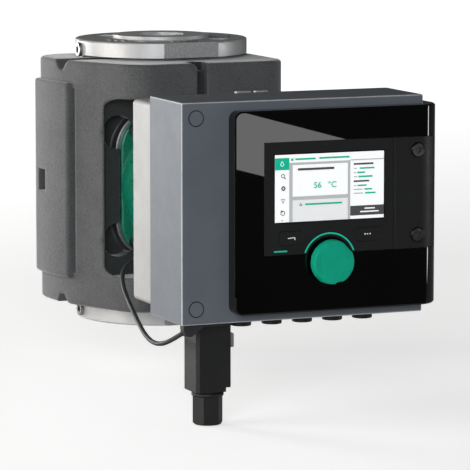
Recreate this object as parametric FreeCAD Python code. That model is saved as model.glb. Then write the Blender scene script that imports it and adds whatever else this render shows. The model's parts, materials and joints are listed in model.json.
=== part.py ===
"""In-line glandless circulator pump, DN 40, with its electronic module and insulation shell.

Millimetres. The origin is the centre of the lower flange's sealing face. +Z runs up the pipe,
-Y runs out of the motor towards the display, and -X is the side of the power connector.
"""
import FreeCAD
import Part
import math
import os

os.makedirs("parts", exist_ok=True)

# Pipe connection
FACE_TO_FACE = 250.0
FLANGE_R = 75.0
FLANGE_RIM = 13.0
RAISED_FACE_R = 42.0
RAISED_FACE = 3.0
PORT_R = 20.0
NECK_R = 29.0
BOLT_HOLE_R = 9.5
BOLT_CIRCLE_R = 55.0
SLIM_BOLT_HOLE_R = 6.9
SLIM_BOLT_CIRCLE_R = 50.0
FLANGE_FLAT_IN = 4.1
FLANGE_EDGE = 1.5
BOLT_ANGLES = (45, 135, 225, 315)

# Pump casing, along the motor axis
MOUNT_Y = -46.0
CHAMBER_DEPTH = 32.0
CHAMBER_R = 54.0
CASING_WALL = 7.0
SUCTION_R = 22.0
SUCTION_DEPTH = 38.0
DUCT_R = 17.0
CASING_PLATE = 12.0
WEAR_RING_WALL = 3.5
WEAR_RING_LENGTH = 6.0
SEAL_SECTION = 3.0

# Motor
MOTOR_FLANGE_HALF = 64.0
MOTOR_FLANGE_CORNER = 34.0
MOTOR_FLANGE = 10.0
MOTOR_SCREW_R = 4.0
MOTOR_SCREW_CIRCLE_R = 68.0
MOTOR_SCREW_HEAD_R = 6.0
MOTOR_FLANGE_LEDGE = 3.5
MOTOR_FLANGE_EDGE = 1.5
BEARING_PLATE = 4.0
CAN_R = 30.7
CAN_WALL = 1.0
STATOR_R = 52.0
STATOR_LENGTH = 58.0
STATOR_SLOTS = 9
HOUSING_WALL = 5.0
HOUSING_BASE = 6.0
HOUSING_LENGTH = 131.3
HOUSING_SHOULDER = 14.0
HOUSING_SHOULDER_SWELL = 3.5
SHAFT_R = 5.0
BEARING_WALL = 6.0
BEARING_LENGTH = 14.0
RUNNING_CLEARANCE = 0.05
ROTOR_GAP = 0.8
IMPELLER_R = 48.0
IMPELLER_VANES = 6
SHROUD = 2.5
IMPELLER_WIDTH = 21.0
IMPELLER_END_GAP = 4.0

# Electronic module and the heat sink that carries it
ADAPTER_HALF_W = 98.0
ADAPTER_HALF_H = 82.5
ADAPTER_DEPTH = 54.0
ADAPTER_DROP = 1.5
FIN_SLOT = 5.0
FIN_PITCH = 10.0
FIN_DEPTH = 30.0
ADAPTER_CORNER = 4.0
ADAPTER_TABS = ((-29.0, 12.5), (-12.0, 10.5))
ADAPTER_TAB_DEPTH = 5.5
ADAPTER_TAB_RISE = 0.8
MODULE_W = 209.8
MODULE_H = 176.4
MODULE_DEPTH = 68.7
MODULE_RISE = 5.5
MODULE_WALL = 3.5
MODULE_EDGE = 1.6
CAP_R = 6.4
CAP_INSET = 12.6
CAP_POCKET = 2.5
CAP_PROUD = 0.2
CAP_GAP = 0.5
CAPACITORS = 2
CAPACITOR_R = 14.0
CAPACITOR_LENGTH = 30.0
CAPACITOR_PITCH = 34.0
BOARD_MARGIN = 12.0
POWER_BOARD = 2.0
CONTROL_BOARD_BACK = 22.0

# Front panel
PANEL = 13.0
PANEL_WALL = 3.5
PANEL_MARGIN = 7.3
PANEL_LEFT_INSET = 40.2
PANEL_WRAP = 12.1
PANEL_WRAP_DEPTH = 24.0
PANEL_CORNER = 21.0
PANEL_LEFT_CORNER = 7.0
PANEL_EDGE = 1.2
SEAM = 0.25
SLOT_COVER_W = 42.0
SLOT_COVER_WALL = 2.5
SLOT_COVER_BACK = 13.0
SLOT_SCREW_INSET = 19.4
SLOT_SCREW_FROM_END = 10.6
SLOT_SCREW_R = 6.0
SLOT_SCREW_PROUD = 1.0
SLOT_SCREW_SEAT = 1.2
SLOT_SCREW_SHANK_R = 2.0
PANEL_FRAME = 8.0
BAND_GAP = 1.7
BAND_W = 112.9
BAND_H = 89.7
BAND_DROP = 32.8
BAND = 1.6
BAND_RECESS = 0.4
DISPLAY_W = 95.0
DISPLAY_H = 53.9
DISPLAY_RISE = 8.1
DISPLAY_BORDER = 0.6
LCD_BORDER = 5.0
LCD = 5.0
BOARD = 1.6
BOARD_GAP = 1.0
KNOB_R = 17.9
KNOB_TAPER = 0.9
KNOB_HEIGHT = 10.0
KNOB_STAND = 3.2
KNOB_FACE_WALL = 4.0
KNOB_BELOW_BAND = 6.8
KNOB_FLUTES = 36
KNOB_TRAVEL = 1.0
DISH_GAP = 2.1
DISH_DEPTH = 2.0
LIGHT_ARC_OUT = 4.6
LIGHT_ARC_W = 1.2
LIGHT_ARC_HALF_ANGLE = 70.0
KNOB_STEM_R = 3.0
PLUNGER_R = 1.5
PLUNGER_STEP = 2.0
ENCODER = 14.0
SWITCH = 8.0
KEY_STEM_R = 1.5
KEY_PROUD = 0.1
HMI_BOARD_MARGIN = 4.0
KEY_W = 20.0
KEY_H = 11.0
KEY_OUT = 15.4
KEY_RISE = 20.0
KEY_TRAVEL = 0.6
MOVING_GAP = 0.3
LED_W = 11.3
LED_H = 1.2
LED_FROM_LEFT = 8.4
LED_FROM_LOW = 2.4

# Underside of the module
BLANK_PLUGS = 5
BLANK_PLUG_R = 8.2
BLANK_PLUG_PITCH = 26.6
BLANK_SLOT = 1.6
BLANK_PLUG_HEAD = 5.3
BLANK_PLUG_X = -45.8
BLANK_PLUG_FROM_FRONT = 20.0
PLUG_X = -71.5
PLUG_FROM_FRONT = 28.0
PLUG_W = 29.0
PLUG_D = 27.0
PLUG_H = 53.5
PLUG_CHAMFER = 2.4
PLUG_STEP_W = 4.0
PLUG_STEP_H = 3.5
PLUG_WALL = 4.0
SOCKET_LIP = 1.2
SOCKET = 4.0
SOCKET_PINS = 3
PIN_R = 1.2
PIN_LENGTH = 8.0
PIN_PITCH = 6.0
COLLAR_R = 13.0
COLLAR = 4.4
COLLAR_NECK = 1.2
GLAND_NUT_R = 12.4
GLAND_NUT = 22.8
GLAND_NUT_TURN = -7.0
GLAND_NUT_CHAMFER = 1.8
GLAND_THREAD_WALL = 3.2
GLAND_BORE_R = 5.0
GLAND_SEAL_WALL = 2.0
LATCH_W = 12.0
LATCH_H = 11.2
LATCH_OUT = 3.4
LATCH_IN = 1.5
LATCH_DROP = 6.4
LATCH_FROM_FRONT = 1.6

# Insulation shell
SHELL_GAP = 1.0
SHELL_END_GAP = 3.0
SHELL_LEFT = 100.4
SHELL_RIGHT = 82.0
SHELL_BACK = 57.0
SHELL_FRONT = 95.0
SHELL_EDGE = 3.0
SHELL_FLANK_START = 12.0
SHELL_FLANK_IN = 39.0
SHELL_CORNERS = (30.0, 150.0, 30.0, 25.0, 14.0)
RECESS_HALF = 76.5
RECESS_CORNER = 9.0
RECESS_FLOOR = 60.0
SCREW_POCKET_R = 14.5
SCREW_POCKET_X = 63.0
SCREW_POCKET_Z = 46.5
SEAM_SLOT = (-4.2, 5.4)
SEAM_SLOT_DEPTH = 16.0
SEAM_TONGUE = 2.9
SEAM_TONGUE_BACK = 5.0
SEAM_TONGUE_DROP = 7.0
SEAM_CORNER = 6.0
SIDE_PAD_Z = (-82.0, 87.0)
SIDE_PAD = 5.2
SIDE_PAD_FRONT = -26.5
SIDE_PAD_BACK = 37.0
SIDE_PAD_EDGE = 2.5
SIDE_GROOVE = 3.2
SIDE_GROOVE_DEPTH = 22.0
SIDE_GROOVE_END = 4.0
SIDE_SLOT_Y = (9.0, 24.0)
SIDE_SLOT_Z = (-10.0, 9.0)
SIDE_SLOT_DEPTH = 8.0
CHANNEL_TOP = (-21.0, 0.0)
CHANNEL_FLOOR = (-13.5, -8.0)
CHANNEL_DEPTH = 8.5

# Pressure tapping and sensor lead
TAPPING_R = 6.0
TAPPING_BOSS = 0.8
TAPPING_RISE = 8.5
SENSOR_R = 5.0
CABLE_R = 1.9
GRIP_WALL = 1.0
GRIP_LENGTH = 3.0

# Places that follow from the sizes above
MID_Z = FACE_TO_FACE / 2
CHAMBER_Y = MOUNT_Y + CHAMBER_DEPTH
SUCTION_BACK_Y = CHAMBER_Y + SUCTION_DEPTH
FLANGE_FRONT_Y = MOUNT_Y - MOTOR_FLANGE
BASE_FRONT_Y = FLANGE_FRONT_Y - HOUSING_BASE
HOUSING_END_Y = FLANGE_FRONT_Y - HOUSING_LENGTH
ADAPTER_BACK_Y = HOUSING_END_Y
MODULE_BACK_Y = ADAPTER_BACK_Y - ADAPTER_DEPTH
MODULE_FRONT_Y = MODULE_BACK_Y - MODULE_DEPTH
PANEL_Y = MODULE_FRONT_Y - PANEL
MODULE_Z = MID_Z + MODULE_RISE
MODULE_X = MODULE_W / 2
MODULE_LOW = MODULE_Z - MODULE_H / 2
MODULE_TOP = MODULE_Z + MODULE_H / 2
PANEL_LEFT = PANEL_LEFT_INSET - MODULE_X
PANEL_RIGHT = MODULE_X + PANEL_WRAP
PANEL_LOW = MODULE_LOW + PANEL_MARGIN
PANEL_TOP = MODULE_TOP - PANEL_MARGIN
SLOT_LEFT = PANEL_RIGHT - SLOT_COVER_W
BAND_RIGHT = SLOT_LEFT - BAND_GAP
BAND_LEFT = BAND_RIGHT - BAND_W
BAND_TOP = MODULE_TOP - BAND_DROP
BAND_LOW = BAND_TOP - BAND_H
HMI_X = (BAND_LEFT + BAND_RIGHT) / 2
DISPLAY_Z = (BAND_LOW + BAND_TOP) / 2 + DISPLAY_RISE
BAND_FACE_Y = PANEL_Y + BAND_RECESS
BAND_BACK_Y = BAND_FACE_Y + BAND
CAVITY_Y = PANEL_Y + PANEL_WALL
HMI_BOARD_Y = CAVITY_Y + LCD + BOARD_GAP
KNOB_Z = BAND_LOW - KNOB_BELOW_BAND
DISH_R = KNOB_R + DISH_GAP
ARC_R = KNOB_R + LIGHT_ARC_OUT
KNOB_FACE_Y = PANEL_Y - KNOB_HEIGHT
KNOB_BACK_Y = PANEL_Y - KNOB_STAND
STEM_END_Y = CAVITY_Y + PLUNGER_STEP
KEY_Z = KNOB_Z + KEY_RISE
PLUG_Y = MODULE_FRONT_Y + PLUG_FROM_FRONT
SOCKET_LOW = MODULE_LOW - SOCKET
PLUG_LOW = SOCKET_LOW - PLUG_H
COLLAR_LOW = PLUG_LOW - COLLAR
NUT_LOW = COLLAR_LOW - GLAND_NUT
SHELL_LOW = RAISED_FACE + FLANGE_RIM + SHELL_END_GAP
SHELL_TOP = FACE_TO_FACE - SHELL_LOW
AXIS = (0, 0, 1)


def vector(point):
    return FreeCAD.Vector(*point)


def box(x, y, z):
    """A block between the lowest and highest x, y and z."""
    return Part.makeBox(x[1] - x[0], y[1] - y[0], z[1] - z[0], vector((x[0], y[0], z[0])))


def rod(radius, start, end):
    line = vector(end) - vector(start)
    return Part.makeCylinder(radius, line.Length, vector(start), line)


def cone(start_radius, end_radius, start, end):
    line = vector(end) - vector(start)
    return Part.makeCone(start_radius, end_radius, line.Length, vector(start), line)


def fuse(shapes):
    return shapes[0].multiFuse(shapes[1:]).removeSplitter()


def cut(shape, tools):
    for tool in tools:
        shape = shape.cut(tool)
    return shape


def prism(points, direction):
    """A straight-sided solid from a closed outline."""
    outline = Part.makePolygon([vector(p) for p in points + points[:1]])
    return Part.Face(outline).extrude(vector(direction))


def edges_along(shape, direction):
    """The straight edges of a shape that are parallel to a direction."""
    wanted = vector(direction).normalize()
    found = []
    for edge in shape.Edges:
        if isinstance(edge.Curve, Part.Line):
            if abs(edge.tangentAt(edge.FirstParameter).dot(wanted)) > 0.999:
                found.append(edge)
    return found


def edges_at(shape, axis, level):
    """The edges that lie in the plane where one coordinate has a level."""
    found = []
    for edge in shape.Edges:
        span = edge.BoundBox
        low = (span.XMin, span.YMin, span.ZMin)[axis]
        high = (span.XMax, span.YMax, span.ZMax)[axis]
        if abs(low - level) < 0.01 and abs(high - level) < 0.01:
            found.append(edge)
    return found


def rounded_block(x, y, z, radius, direction):
    """A block whose four edges along a direction are rounded."""
    block = box(x, y, z)
    return block.makeFillet(radius, edges_along(block, direction))


def along_motor(radius, start_y, end_y, x=0.0, z=None):
    """A round bar parallel to the motor axis."""
    height = MID_Z if z is None else z
    return rod(radius, (x, start_y, height), (x, end_y, height))


def motor_plate(half, corner, start_y, end_y):
    """A rounded square plate centred on the motor axis."""
    return rounded_block((-half, half), (start_y, end_y), (MID_Z - half, MID_Z + half), corner, (0, 1, 0))


def round_about(shape, count, centre, direction=AXIS):
    """Copies of a shape, evenly spaced round an axis."""
    copies = []
    for index in range(count):
        copy = shape.copy()
        copy.rotate(vector(centre), vector(direction), index * 360.0 / count)
        copies.append(copy)
    return copies


def flipped(shape):
    """The same shape at the other end of the pipe run."""
    return shape.mirror(vector((0, 0, MID_Z)), vector(AXIS))


def save(name, shape):
    """Writes one node, which has to be one sound solid."""
    solids = shape.Solids
    if len(solids) != 1 or not shape.isValid():
        raise ValueError(name + " isn't one sound solid")
    solids[0].exportStep("parts/" + name + ".step")


# ---------------------------------------------------------------- pump casing

def port_flange():
    """The lower flange with its raised face, bolt holes and one flat left as cast."""
    plate = rod(FLANGE_R, (0, 0, RAISED_FACE), (0, 0, RAISED_FACE + FLANGE_RIM))
    plate = plate.makeFillet(FLANGE_EDGE, edges_at(plate, 2, RAISED_FACE))
    flat_y = FLANGE_FLAT_IN - FLANGE_R
    plate = plate.cut(box((-FLANGE_R, FLANGE_R), (-2 * FLANGE_R, flat_y), (0, FACE_TO_FACE)))
    top = RAISED_FACE + FLANGE_RIM
    tools = []
    for angle in BOLT_ANGLES:
        across = (math.cos(math.radians(angle)), math.sin(math.radians(angle)))
        for circle, radius in ((BOLT_CIRCLE_R, BOLT_HOLE_R), (SLIM_BOLT_CIRCLE_R, SLIM_BOLT_HOLE_R)):
            x = circle * across[0]
            y = circle * across[1]
            tools.append(rod(radius, (x, y, 0), (x, y, top)))
    raised = rod(RAISED_FACE_R, (0, 0, 0), (0, 0, RAISED_FACE))
    z = RAISED_FACE + TAPPING_RISE
    boss = rod(TAPPING_R + TAPPING_BOSS, (-NECK_R, 0, z), (-FLANGE_R + TAPPING_BOSS, 0, z))
    return fuse([plate.cut(fuse(tools)), raised, boss])


def casing_body(gap):
    """The outside of the casing between its flanges, grown by a gap."""
    plate_y = MOUNT_Y + CASING_PLATE + gap
    duct = DUCT_R + CASING_WALL + gap
    chamber = CHAMBER_R + CASING_WALL + gap
    top = FACE_TO_FACE - RAISED_FACE
    neck = rod(NECK_R + gap, (0, 0, RAISED_FACE), (0, 0, top))
    low_leg = rod(duct, suction_bend(0), suction_bend(1))
    suction_leg = rod(duct, suction_bend(1), suction_bend(2))
    volute = along_motor(chamber, MOUNT_Y, CHAMBER_Y + CASING_WALL + gap)
    suction = along_motor(SUCTION_R + CASING_WALL + gap, CHAMBER_Y, SUCTION_BACK_Y + CASING_WALL + gap)
    outlet = rod(duct, outlet_bend(0), outlet_bend(1))
    half = MOTOR_FLANGE_HALF + gap
    plate = motor_plate(half, MOTOR_FLANGE_CORNER, MOUNT_Y, plate_y)
    return fuse([neck, low_leg, suction_leg, volute, suction, outlet, plate])


def suction_bend(index):
    """Points on the passage from the lower port round the back of the impeller."""
    behind = CHAMBER_Y + CASING_WALL / 2 + DUCT_R + CASING_WALL
    low = MID_Z - CHAMBER_R - CASING_WALL - DUCT_R
    return ((0, 0, low), (0, behind, MID_Z - SUCTION_R - DUCT_R), (0, behind, MID_Z))[index]


def outlet_bend(index):
    """Points on the passage from the impeller chamber to the upper port."""
    middle = (MOUNT_Y + CHAMBER_Y) / 2
    return ((0, middle, MID_Z + CHAMBER_R - DUCT_R), (0, 0, MID_Z + CHAMBER_R + DUCT_R + CASING_WALL))[index]


def casing_passages():
    """Everything that is bored or cast out of the casing."""
    suction = [
        rod(PORT_R, (0, 0, 0), suction_bend(0)),
        Part.makeSphere(DUCT_R, vector(suction_bend(0))),
        rod(DUCT_R, suction_bend(0), suction_bend(1)),
        Part.makeSphere(DUCT_R, vector(suction_bend(1))),
        rod(DUCT_R, suction_bend(1), suction_bend(2)),
        along_motor(SUCTION_R, CHAMBER_Y, SUCTION_BACK_Y),
    ]
    delivery = [
        along_motor(CHAMBER_R, MOUNT_Y, CHAMBER_Y),
        rod(DUCT_R, outlet_bend(0), outlet_bend(1)),
        Part.makeSphere(DUCT_R, vector(outlet_bend(1))),
        rod(PORT_R, outlet_bend(1), (0, 0, FACE_TO_FACE)),
    ]
    ring_r = SUCTION_R + WEAR_RING_WALL
    seat = along_motor(ring_r, CHAMBER_Y, CHAMBER_Y + WEAR_RING_LENGTH)
    return suction + delivery + [seat]


def motor_screw_places():
    reach = MOTOR_SCREW_CIRCLE_R / math.sqrt(2)
    return [(-reach, MID_Z + reach), (reach, MID_Z + reach), (-reach, MID_Z - reach), (reach, MID_Z - reach)]


def tapping_bore(z):
    """The drilled way from a flange's rim to the port, with the plug's seat."""
    seat = rod(TAPPING_R - 1, (-FLANGE_R + TAPPING_R, 0, z), (-FLANGE_R - 1, 0, z))
    return fuse([rod(TAPPING_R / 3, (-FLANGE_R, 0, z), (0, 0, z)), seat])


def pump_housing():
    seal = along_motor(CHAMBER_R + 1 + SEAL_SECTION, MOUNT_Y, MOUNT_Y + SEAL_SECTION)
    seal = seal.cut(along_motor(CHAMBER_R + 1, MOUNT_Y, MOUNT_Y + SEAL_SECTION))
    taps = []
    for x, z in motor_screw_places():
        taps.append(along_motor(MOTOR_SCREW_R, MOUNT_Y, MOUNT_Y + CASING_PLATE, x, z))
    lower = RAISED_FACE + TAPPING_RISE
    bores = [tapping_bore(lower), tapping_bore(FACE_TO_FACE - lower)]
    reach = 2 * CHAMBER_R
    ahead = box((-reach, reach), (MOUNT_Y - reach, MOUNT_Y), (FLANGE_RIM + RAISED_FACE, SHELL_TOP))
    body = fuse([casing_body(0).cut(ahead), port_flange(), flipped(port_flange())])
    save("pump_housing", cut(body, casing_passages() + [seal] + taps + bores))
    save("housing_seal", seal)
    end_y = CHAMBER_Y + WEAR_RING_LENGTH
    save("wear_ring", along_motor(SUCTION_R + WEAR_RING_WALL, CHAMBER_Y, end_y).cut(
        along_motor(SUCTION_R, CHAMBER_Y, end_y)))


def pressure_plugs():
    """A socket-head plug in the side of each flange."""
    lower = RAISED_FACE + TAPPING_RISE
    for name, z in (("pressure_plug_lower", lower), ("pressure_plug_upper", FACE_TO_FACE - lower)):
        shank = rod(TAPPING_R - 1, (-FLANGE_R + TAPPING_R, 0, z), (-FLANGE_R, 0, z))
        head = rod(TAPPING_R, (-FLANGE_R, 0, z), (-FLANGE_R - TAPPING_R / 2, 0, z))
        socket = rod(TAPPING_R / 2, (-FLANGE_R + 1, 0, z), (-FLANGE_R - TAPPING_R, 0, z))
        save(name, fuse([shank, head]).cut(socket))


# ---------------------------------------------------------------- motor and rotor

def bearing_plate():
    """The plate that closes the impeller chamber and holds the front bearing."""
    seat_r = SHAFT_R + RUNNING_CLEARANCE + BEARING_WALL
    plate_r = CHAMBER_R + 1 + SEAL_SECTION
    back_y = MOUNT_Y - BEARING_PLATE
    hub = along_motor(seat_r + BEARING_WALL / 2, MOUNT_Y - BEARING_LENGTH, MOUNT_Y)
    plate = fuse([along_motor(plate_r, back_y, MOUNT_Y), hub])
    save("bearing_plate", plate.cut(along_motor(seat_r, MOUNT_Y - BEARING_LENGTH, MOUNT_Y)))
    bush = along_motor(seat_r, MOUNT_Y - BEARING_LENGTH, MOUNT_Y + 1)
    save("front_bearing", bush.cut(
        along_motor(SHAFT_R + RUNNING_CLEARANCE, MOUNT_Y - BEARING_LENGTH, MOUNT_Y + 1)))


def can_end_y():
    return HOUSING_END_Y + 2 * HOUSING_WALL


def separating_can():
    """The thin cup between the wet rotor and the dry stator, with the rear bearing's seat."""
    front_y = MOUNT_Y - BEARING_PLATE
    end_y = can_end_y()
    seat_r = SHAFT_R + RUNNING_CLEARANCE + BEARING_WALL
    inner_r = CAN_R - CAN_WALL
    cup = along_motor(CAN_R, end_y, front_y).cut(along_motor(inner_r, end_y + CAN_WALL, front_y))
    lip = along_motor(CAN_R + 2, front_y - CAN_WALL, front_y).cut(
        along_motor(inner_r, front_y - CAN_WALL, front_y))
    seat_end = end_y + CAN_WALL + BEARING_LENGTH
    seat = along_motor(seat_r + 3, end_y + CAN_WALL, seat_end).cut(
        along_motor(seat_r, end_y + CAN_WALL, seat_end))
    save("separating_can", fuse([cup, lip, seat]))
    bush = along_motor(seat_r, end_y + CAN_WALL, seat_end)
    save("rear_bearing", bush.cut(
        along_motor(SHAFT_R + RUNNING_CLEARANCE, end_y + CAN_WALL, seat_end)))


def stator_span():
    middle = (HOUSING_END_Y + FLANGE_FRONT_Y) / 2
    return middle - STATOR_LENGTH / 2, middle + STATOR_LENGTH / 2


def stator():
    """The laminated ring and the copper coils that fill its slots and turn over its ends."""
    low_y, high_y = stator_span()
    core = along_motor(STATOR_R, low_y, high_y).cut(along_motor(CAN_R, low_y, high_y))
    slot_r = (STATOR_R - CAN_R) / 4
    middle_r = (STATOR_R + CAN_R) / 2
    end_turn = 2 * slot_r
    slot = along_motor(slot_r, low_y, high_y, middle_r)
    slots = round_about(slot, STATOR_SLOTS, (0, 0, MID_Z), (0, 1, 0))
    save("stator_core", core.cut(fuse(slots)))
    turns = list(slots)
    for start, end in ((low_y - end_turn, low_y), (high_y, high_y + end_turn)):
        outer = along_motor(middle_r + slot_r, start, end)
        turns.append(outer.cut(along_motor(middle_r - slot_r, start, end)))
    save("stator_windings", fuse(turns))


def motor_flange():
    """The cast ring that clamps the bearing plate to the casing."""
    plate = motor_plate(MOTOR_FLANGE_HALF, MOTOR_FLANGE_CORNER, FLANGE_FRONT_Y, MOUNT_Y)
    plate = plate.makeFillet(MOTOR_FLANGE_EDGE, edges_at(plate, 1, FLANGE_FRONT_Y))
    pocket = along_motor(CHAMBER_R + 1 + SEAL_SECTION, MOUNT_Y - BEARING_PLATE, MOUNT_Y)
    hole = along_motor(CAN_R + 2, FLANGE_FRONT_Y, MOUNT_Y)
    screws = []
    for x, z in motor_screw_places():
        screws.append(along_motor(MOTOR_SCREW_R, FLANGE_FRONT_Y, MOUNT_Y, x, z))
    save("motor_flange", cut(plate, [pocket, hole] + screws))


def motor_housing():
    """The painted cup round the stator: a rounded square foot that swells into a barrel."""
    foot_half = MOTOR_FLANGE_HALF - MOTOR_FLANGE_LEDGE
    outer_r = STATOR_R + HOUSING_WALL
    foot = motor_plate(foot_half, MOTOR_FLANGE_CORNER - HOUSING_BASE, BASE_FRONT_Y, FLANGE_FRONT_Y)
    foot = foot.makeFillet(2.0, edges_at(foot, 1, BASE_FRONT_Y))
    barrel = along_motor(outer_r, HOUSING_END_Y, FLANGE_FRONT_Y)
    barrel = barrel.makeFillet(HOUSING_WALL, edges_at(barrel, 1, HOUSING_END_Y))
    shoulder = cone(outer_r + HOUSING_SHOULDER_SWELL, outer_r, (0, BASE_FRONT_Y, MID_Z),
                    (0, BASE_FRONT_Y - HOUSING_SHOULDER, MID_Z))
    hollow = along_motor(STATOR_R, HOUSING_END_Y + HOUSING_WALL, FLANGE_FRONT_Y)
    shell = fuse([foot, barrel, shoulder]).cut(hollow)
    tools = []
    for x, z in motor_screw_places():
        tools.append(along_motor(MOTOR_SCREW_R, BASE_FRONT_Y, FLANGE_FRONT_Y, x, z))
        tools.append(along_motor(2 * MOTOR_SCREW_R, BASE_FRONT_Y - 2 * HOUSING_SHOULDER, BASE_FRONT_Y, x, z))
    x, _, z = LEAD[0]
    entry_y = BASE_FRONT_Y - 2 * HOUSING_SHOULDER
    tools.append(along_motor(SENSOR_R + RUNNING_CLEARANCE, entry_y, BASE_FRONT_Y, x, z))
    save("motor_housing", cut(shell, tools))


def motor_screws():
    """Four socket-head screws through the foot and the flange into the casing."""
    for index, (x, z) in enumerate(motor_screw_places()):
        head_end = BASE_FRONT_Y - 2 * MOTOR_SCREW_R
        shank = along_motor(MOTOR_SCREW_R, BASE_FRONT_Y, MOUNT_Y + CASING_PLATE - 1, x, z)
        head = along_motor(MOTOR_SCREW_HEAD_R, head_end, BASE_FRONT_Y, x, z)
        socket = along_motor(0.7 * MOTOR_SCREW_R, head_end, head_end + MOTOR_SCREW_R, x, z)
        save("motor_screw_%d" % (index + 1), fuse([head, shank]).cut(socket))


def impeller():
    """A closed impeller: two shrouds, curved vanes and a hub on the shaft."""
    back_y = MOUNT_Y + IMPELLER_END_GAP
    front_y = back_y + IMPELLER_WIDTH
    eye_r = SUCTION_R - MOVING_GAP
    back = along_motor(IMPELLER_R, back_y, back_y + SHROUD)
    front = along_motor(IMPELLER_R, front_y - SHROUD, front_y)
    neck = along_motor(eye_r, front_y, CHAMBER_Y + WEAR_RING_LENGTH - 1)
    eye = along_motor(eye_r - SHROUD, front_y - SHROUD, SUCTION_BACK_Y)
    hub = along_motor(2 * SHAFT_R, back_y, front_y - SHROUD)
    arc_r = 0.6 * IMPELLER_R
    vane = along_motor(arc_r, back_y, front_y, x=arc_r).cut(
        along_motor(arc_r - SHROUD, back_y, front_y, x=arc_r))
    keep = box((0, IMPELLER_R), (back_y, front_y), (MID_Z, MID_Z + IMPELLER_R))
    ring_space = along_motor(IMPELLER_R, back_y, front_y).cut(along_motor(1.5 * SHAFT_R, back_y, front_y))
    vane = vane.common(keep).common(ring_space)
    vanes = round_about(vane, IMPELLER_VANES, (0, 0, MID_Z), (0, 1, 0))
    body = fuse([back, hub] + vanes + [fuse([front, neck]).cut(eye)])
    save("impeller", body.cut(along_motor(SHAFT_R, back_y, front_y)))


def rotor():
    low_y, high_y = stator_span()
    back_y = MOUNT_Y + IMPELLER_END_GAP
    shaft_start = can_end_y() + CAN_WALL + 2
    save("rotor_shaft", along_motor(SHAFT_R, shaft_start, back_y + IMPELLER_WIDTH - SHROUD))
    core = along_motor(CAN_R - CAN_WALL - ROTOR_GAP, low_y, high_y)
    save("rotor_core", core.cut(along_motor(SHAFT_R, low_y, high_y)))


# ---------------------------------------------------------------- electronic module

def module_adapter():
    """The finned heat sink between the motor and the module, with two tabs on its top edge."""
    low = MODULE_Z - ADAPTER_DROP - ADAPTER_HALF_H
    high = MODULE_Z - ADAPTER_DROP + ADAPTER_HALF_H
    block = rounded_block((-ADAPTER_HALF_W, ADAPTER_HALF_W), (MODULE_BACK_Y, ADAPTER_BACK_Y),
                          (low, high), ADAPTER_CORNER, (0, 1, 0))
    hub = along_motor(STATOR_R + HOUSING_WALL, ADAPTER_BACK_Y - FIN_DEPTH, ADAPTER_BACK_Y)
    count = int((ADAPTER_HALF_W - FIN_PITCH) / FIN_PITCH)
    slots = []
    for index in range(-count, count + 1):
        x = index * FIN_PITCH
        slots.append(box((x - FIN_SLOT / 2, x + FIN_SLOT / 2),
                         (ADAPTER_BACK_Y - FIN_DEPTH, ADAPTER_BACK_Y), (low, high)))
    tabs = []
    for left, width in ADAPTER_TABS:
        tabs.append(box((left, left + width), (MODULE_BACK_Y, MODULE_BACK_Y + ADAPTER_TAB_DEPTH),
                        (high - ADAPTER_TAB_DEPTH, MODULE_TOP + ADAPTER_TAB_RISE)))
    save("module_adapter", fuse([block.cut(fuse(slots)), hub] + tabs))


def front_window():
    """The space behind the front panel, as x and z ranges."""
    return ((PANEL_LEFT + PANEL_FRAME, SLOT_LEFT - PANEL_FRAME / 2),
            (PANEL_LOW + PANEL_FRAME, PANEL_TOP - PANEL_FRAME))


def cap_places():
    x = CAP_INSET - MODULE_X
    return (("top", x, MODULE_TOP - CAP_INSET), ("bottom", x, MODULE_LOW + CAP_INSET))


def module_housing():
    """The box for the electronics, with an opening behind the panel and one onto the heat sink."""
    z = (MODULE_LOW, MODULE_TOP)
    block = box((-MODULE_X, MODULE_X), (MODULE_FRONT_Y, MODULE_BACK_Y), z)
    block = block.makeFillet(MODULE_EDGE, block.Edges)
    inside = box((MODULE_WALL - MODULE_X, MODULE_X - MODULE_WALL),
                 (MODULE_FRONT_Y + MODULE_WALL, MODULE_BACK_Y - MODULE_WALL),
                 (z[0] + MODULE_WALL, z[1] - MODULE_WALL))
    window_x, window_z = front_window()
    window = box(window_x, (MODULE_FRONT_Y, MODULE_FRONT_Y + MODULE_WALL), window_z)
    back_x = ADAPTER_HALF_W - 2 * FIN_PITCH
    back_z = ADAPTER_HALF_H - 2 * FIN_PITCH
    back = box((-back_x, back_x), (MODULE_BACK_Y - MODULE_WALL, MODULE_BACK_Y),
               (MODULE_Z - back_z, MODULE_Z + back_z))
    bosses = []
    pockets = []
    for _, x, cap_z in cap_places():
        bosses.append(along_motor(CAP_R + 2, MODULE_FRONT_Y + MODULE_WALL, MODULE_BACK_Y - MODULE_WALL,
                                  x, cap_z))
        pockets.append(along_motor(CAP_R, MODULE_FRONT_Y, MODULE_FRONT_Y + CAP_POCKET, x, cap_z))
    entries = []
    for x in blank_plug_places():
        y = MODULE_FRONT_Y + BLANK_PLUG_FROM_FRONT
        entries.append(rod(BLANK_PLUG_R - 2, (x, y, MODULE_LOW), (x, y, MODULE_LOW + MODULE_WALL)))
    shell = cut(block, [inside, window, back])
    save("module_housing", cut(fuse([shell] + bosses), pockets + entries))
    for name, x, cap_z in cap_places():
        cap_y = MODULE_FRONT_Y - CAP_PROUD
        cap = along_motor(CAP_R - CAP_GAP, cap_y, MODULE_FRONT_Y + CAP_POCKET, x, cap_z)
        save("screw_cap_" + name, cap.makeFillet(CAP_PROUD, edges_at(cap, 1, cap_y)))


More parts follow.
